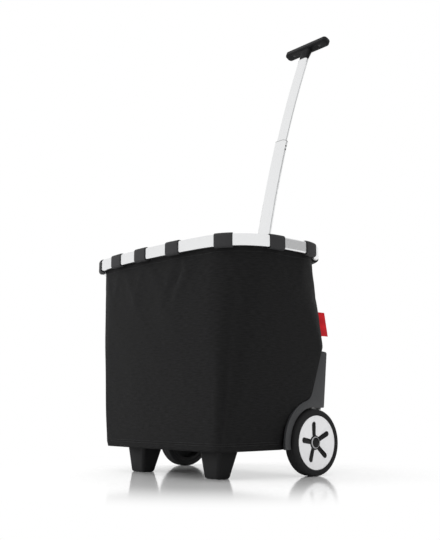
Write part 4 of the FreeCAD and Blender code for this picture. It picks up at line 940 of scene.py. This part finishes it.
def lathe(name, section, centre, turns=128):
    """A closed section turned about a line along X."""
    mesh = bmesh.new()
    rings = []
    for index in range(turns):
        turn = math.tau * index / turns
        rings.append([mesh.verts.new(centre + Vector((a, r * math.cos(turn), r * math.sin(turn))))
                      for a, r in section])
    count = len(section)
    for index in range(turns):
        here, there = rings[index], rings[(index + 1) % turns]
        for step in range(count):
            after = (step + 1) % count
            mesh.faces.new((here[step], here[after], there[after], there[step]))
    bmesh.ops.recalc_face_normals(mesh, faces=mesh.faces)
    data = bpy.data.meshes.new(name)
    mesh.to_mesh(data)
    return data


for side in ("right", "left"):
    low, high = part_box("tyre_" + side)
    tyre = shown("rubber_tyre_" + side, lathe("rubber_tyre_" + side, tyre_section(), (low + high) / 2),
                 rubber)
    tyre_edges = tyre.modifiers.new("edges", "BEVEL")
    tyre_edges.width = 0.0003
    tyre_edges.limit_method = "ANGLE"
    tyre_edges.angle_limit = math.radians(32)
    tyre_edges.harden_normals = True
    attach(tyre, side + "_wheel")
    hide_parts("tyre_" + side)
    disc = softened("disc_" + side, "wheel_disc_" + side, silver, side + "_wheel", 0.0004, 25)
    painted(disc, moulded, turned_inward)
    softened("star_" + side, "wheel_star_" + side, gloss, side + "_wheel", 0.0005, 35, 3)
    cap = softened("cap_" + side, "hub_cap_" + side, gloss, side + "_wheel", 0.0005, 25, 3)
    painted(cap, ring_metal, outer_ring)
    finished(nylon, "wheel_bushes_" + side)
finished(zinc, "axle", "axle_clips")
finished(nylon, "axle_spacers")

# ---- The pole ----
# Three oval aluminium tubes bent to one large circle, so that they slide in each other. A black
# guide bush closes the mouth of each wider tube, and a moulded collar holds the fixed one at the rim.

finished(anodised, "pole_outer_tube", "pole_middle_tube", "pole_inner_tube")
finished(moulded, "outer_bush", "middle_bush", "middle_shoe", "inner_shoe")
finished(zinc, "release_rod")
softened("pole_collar", "pole_bracket", moulded, "basket", 0.0010)

# ---- The grip ----
# A black T grip in two mouldings screwed together from below, with a push button on top that lets
# the tubes slide.

soft_grip = Finish("grip_plastic", (0.006, 0.006, 0.0065), 0.42, Specular_IOR_Level=0.12)
soft_grip.set("Roughness", soft_grip.grain(45.0) * 0.12 + 0.38)
soft_grip.bump(soft_grip.node("ShaderNodeTexVoronoi", {"feature": "SMOOTH_F1"},
                              {"Vector": soft_grip.place(), "Scale": 1600.0}), 0.0001, 0.5)
softened("grip_lower", "grip_body", soft_grip, "inner_section", 0.0006)
softened("grip_cover", "grip_top", soft_grip, "inner_section", 0.0004)
softened("push_button", "grip_button", moulded, "release", 0.0003)

# ---- The side tab ----
# A short loop of red woven tape sewn into the right back seam, with nothing printed on it.

red = Finish("red_tape", (0.50, 0.004, 0.012), 0.6, Specular_IOR_Level=0.2)
tape = red.waves(0.0007, "X", uv=False) * red.waves(0.0007, "Z", uv=False)
red.set("Base Color", red.blend(tape, (0.42, 0.002, 0.008), (0.66, 0.004, 0.012)))
red.bump(tape, 0.00012, 0.6)
softened("red_tab", "side_label", red, "basket", 0.0004)
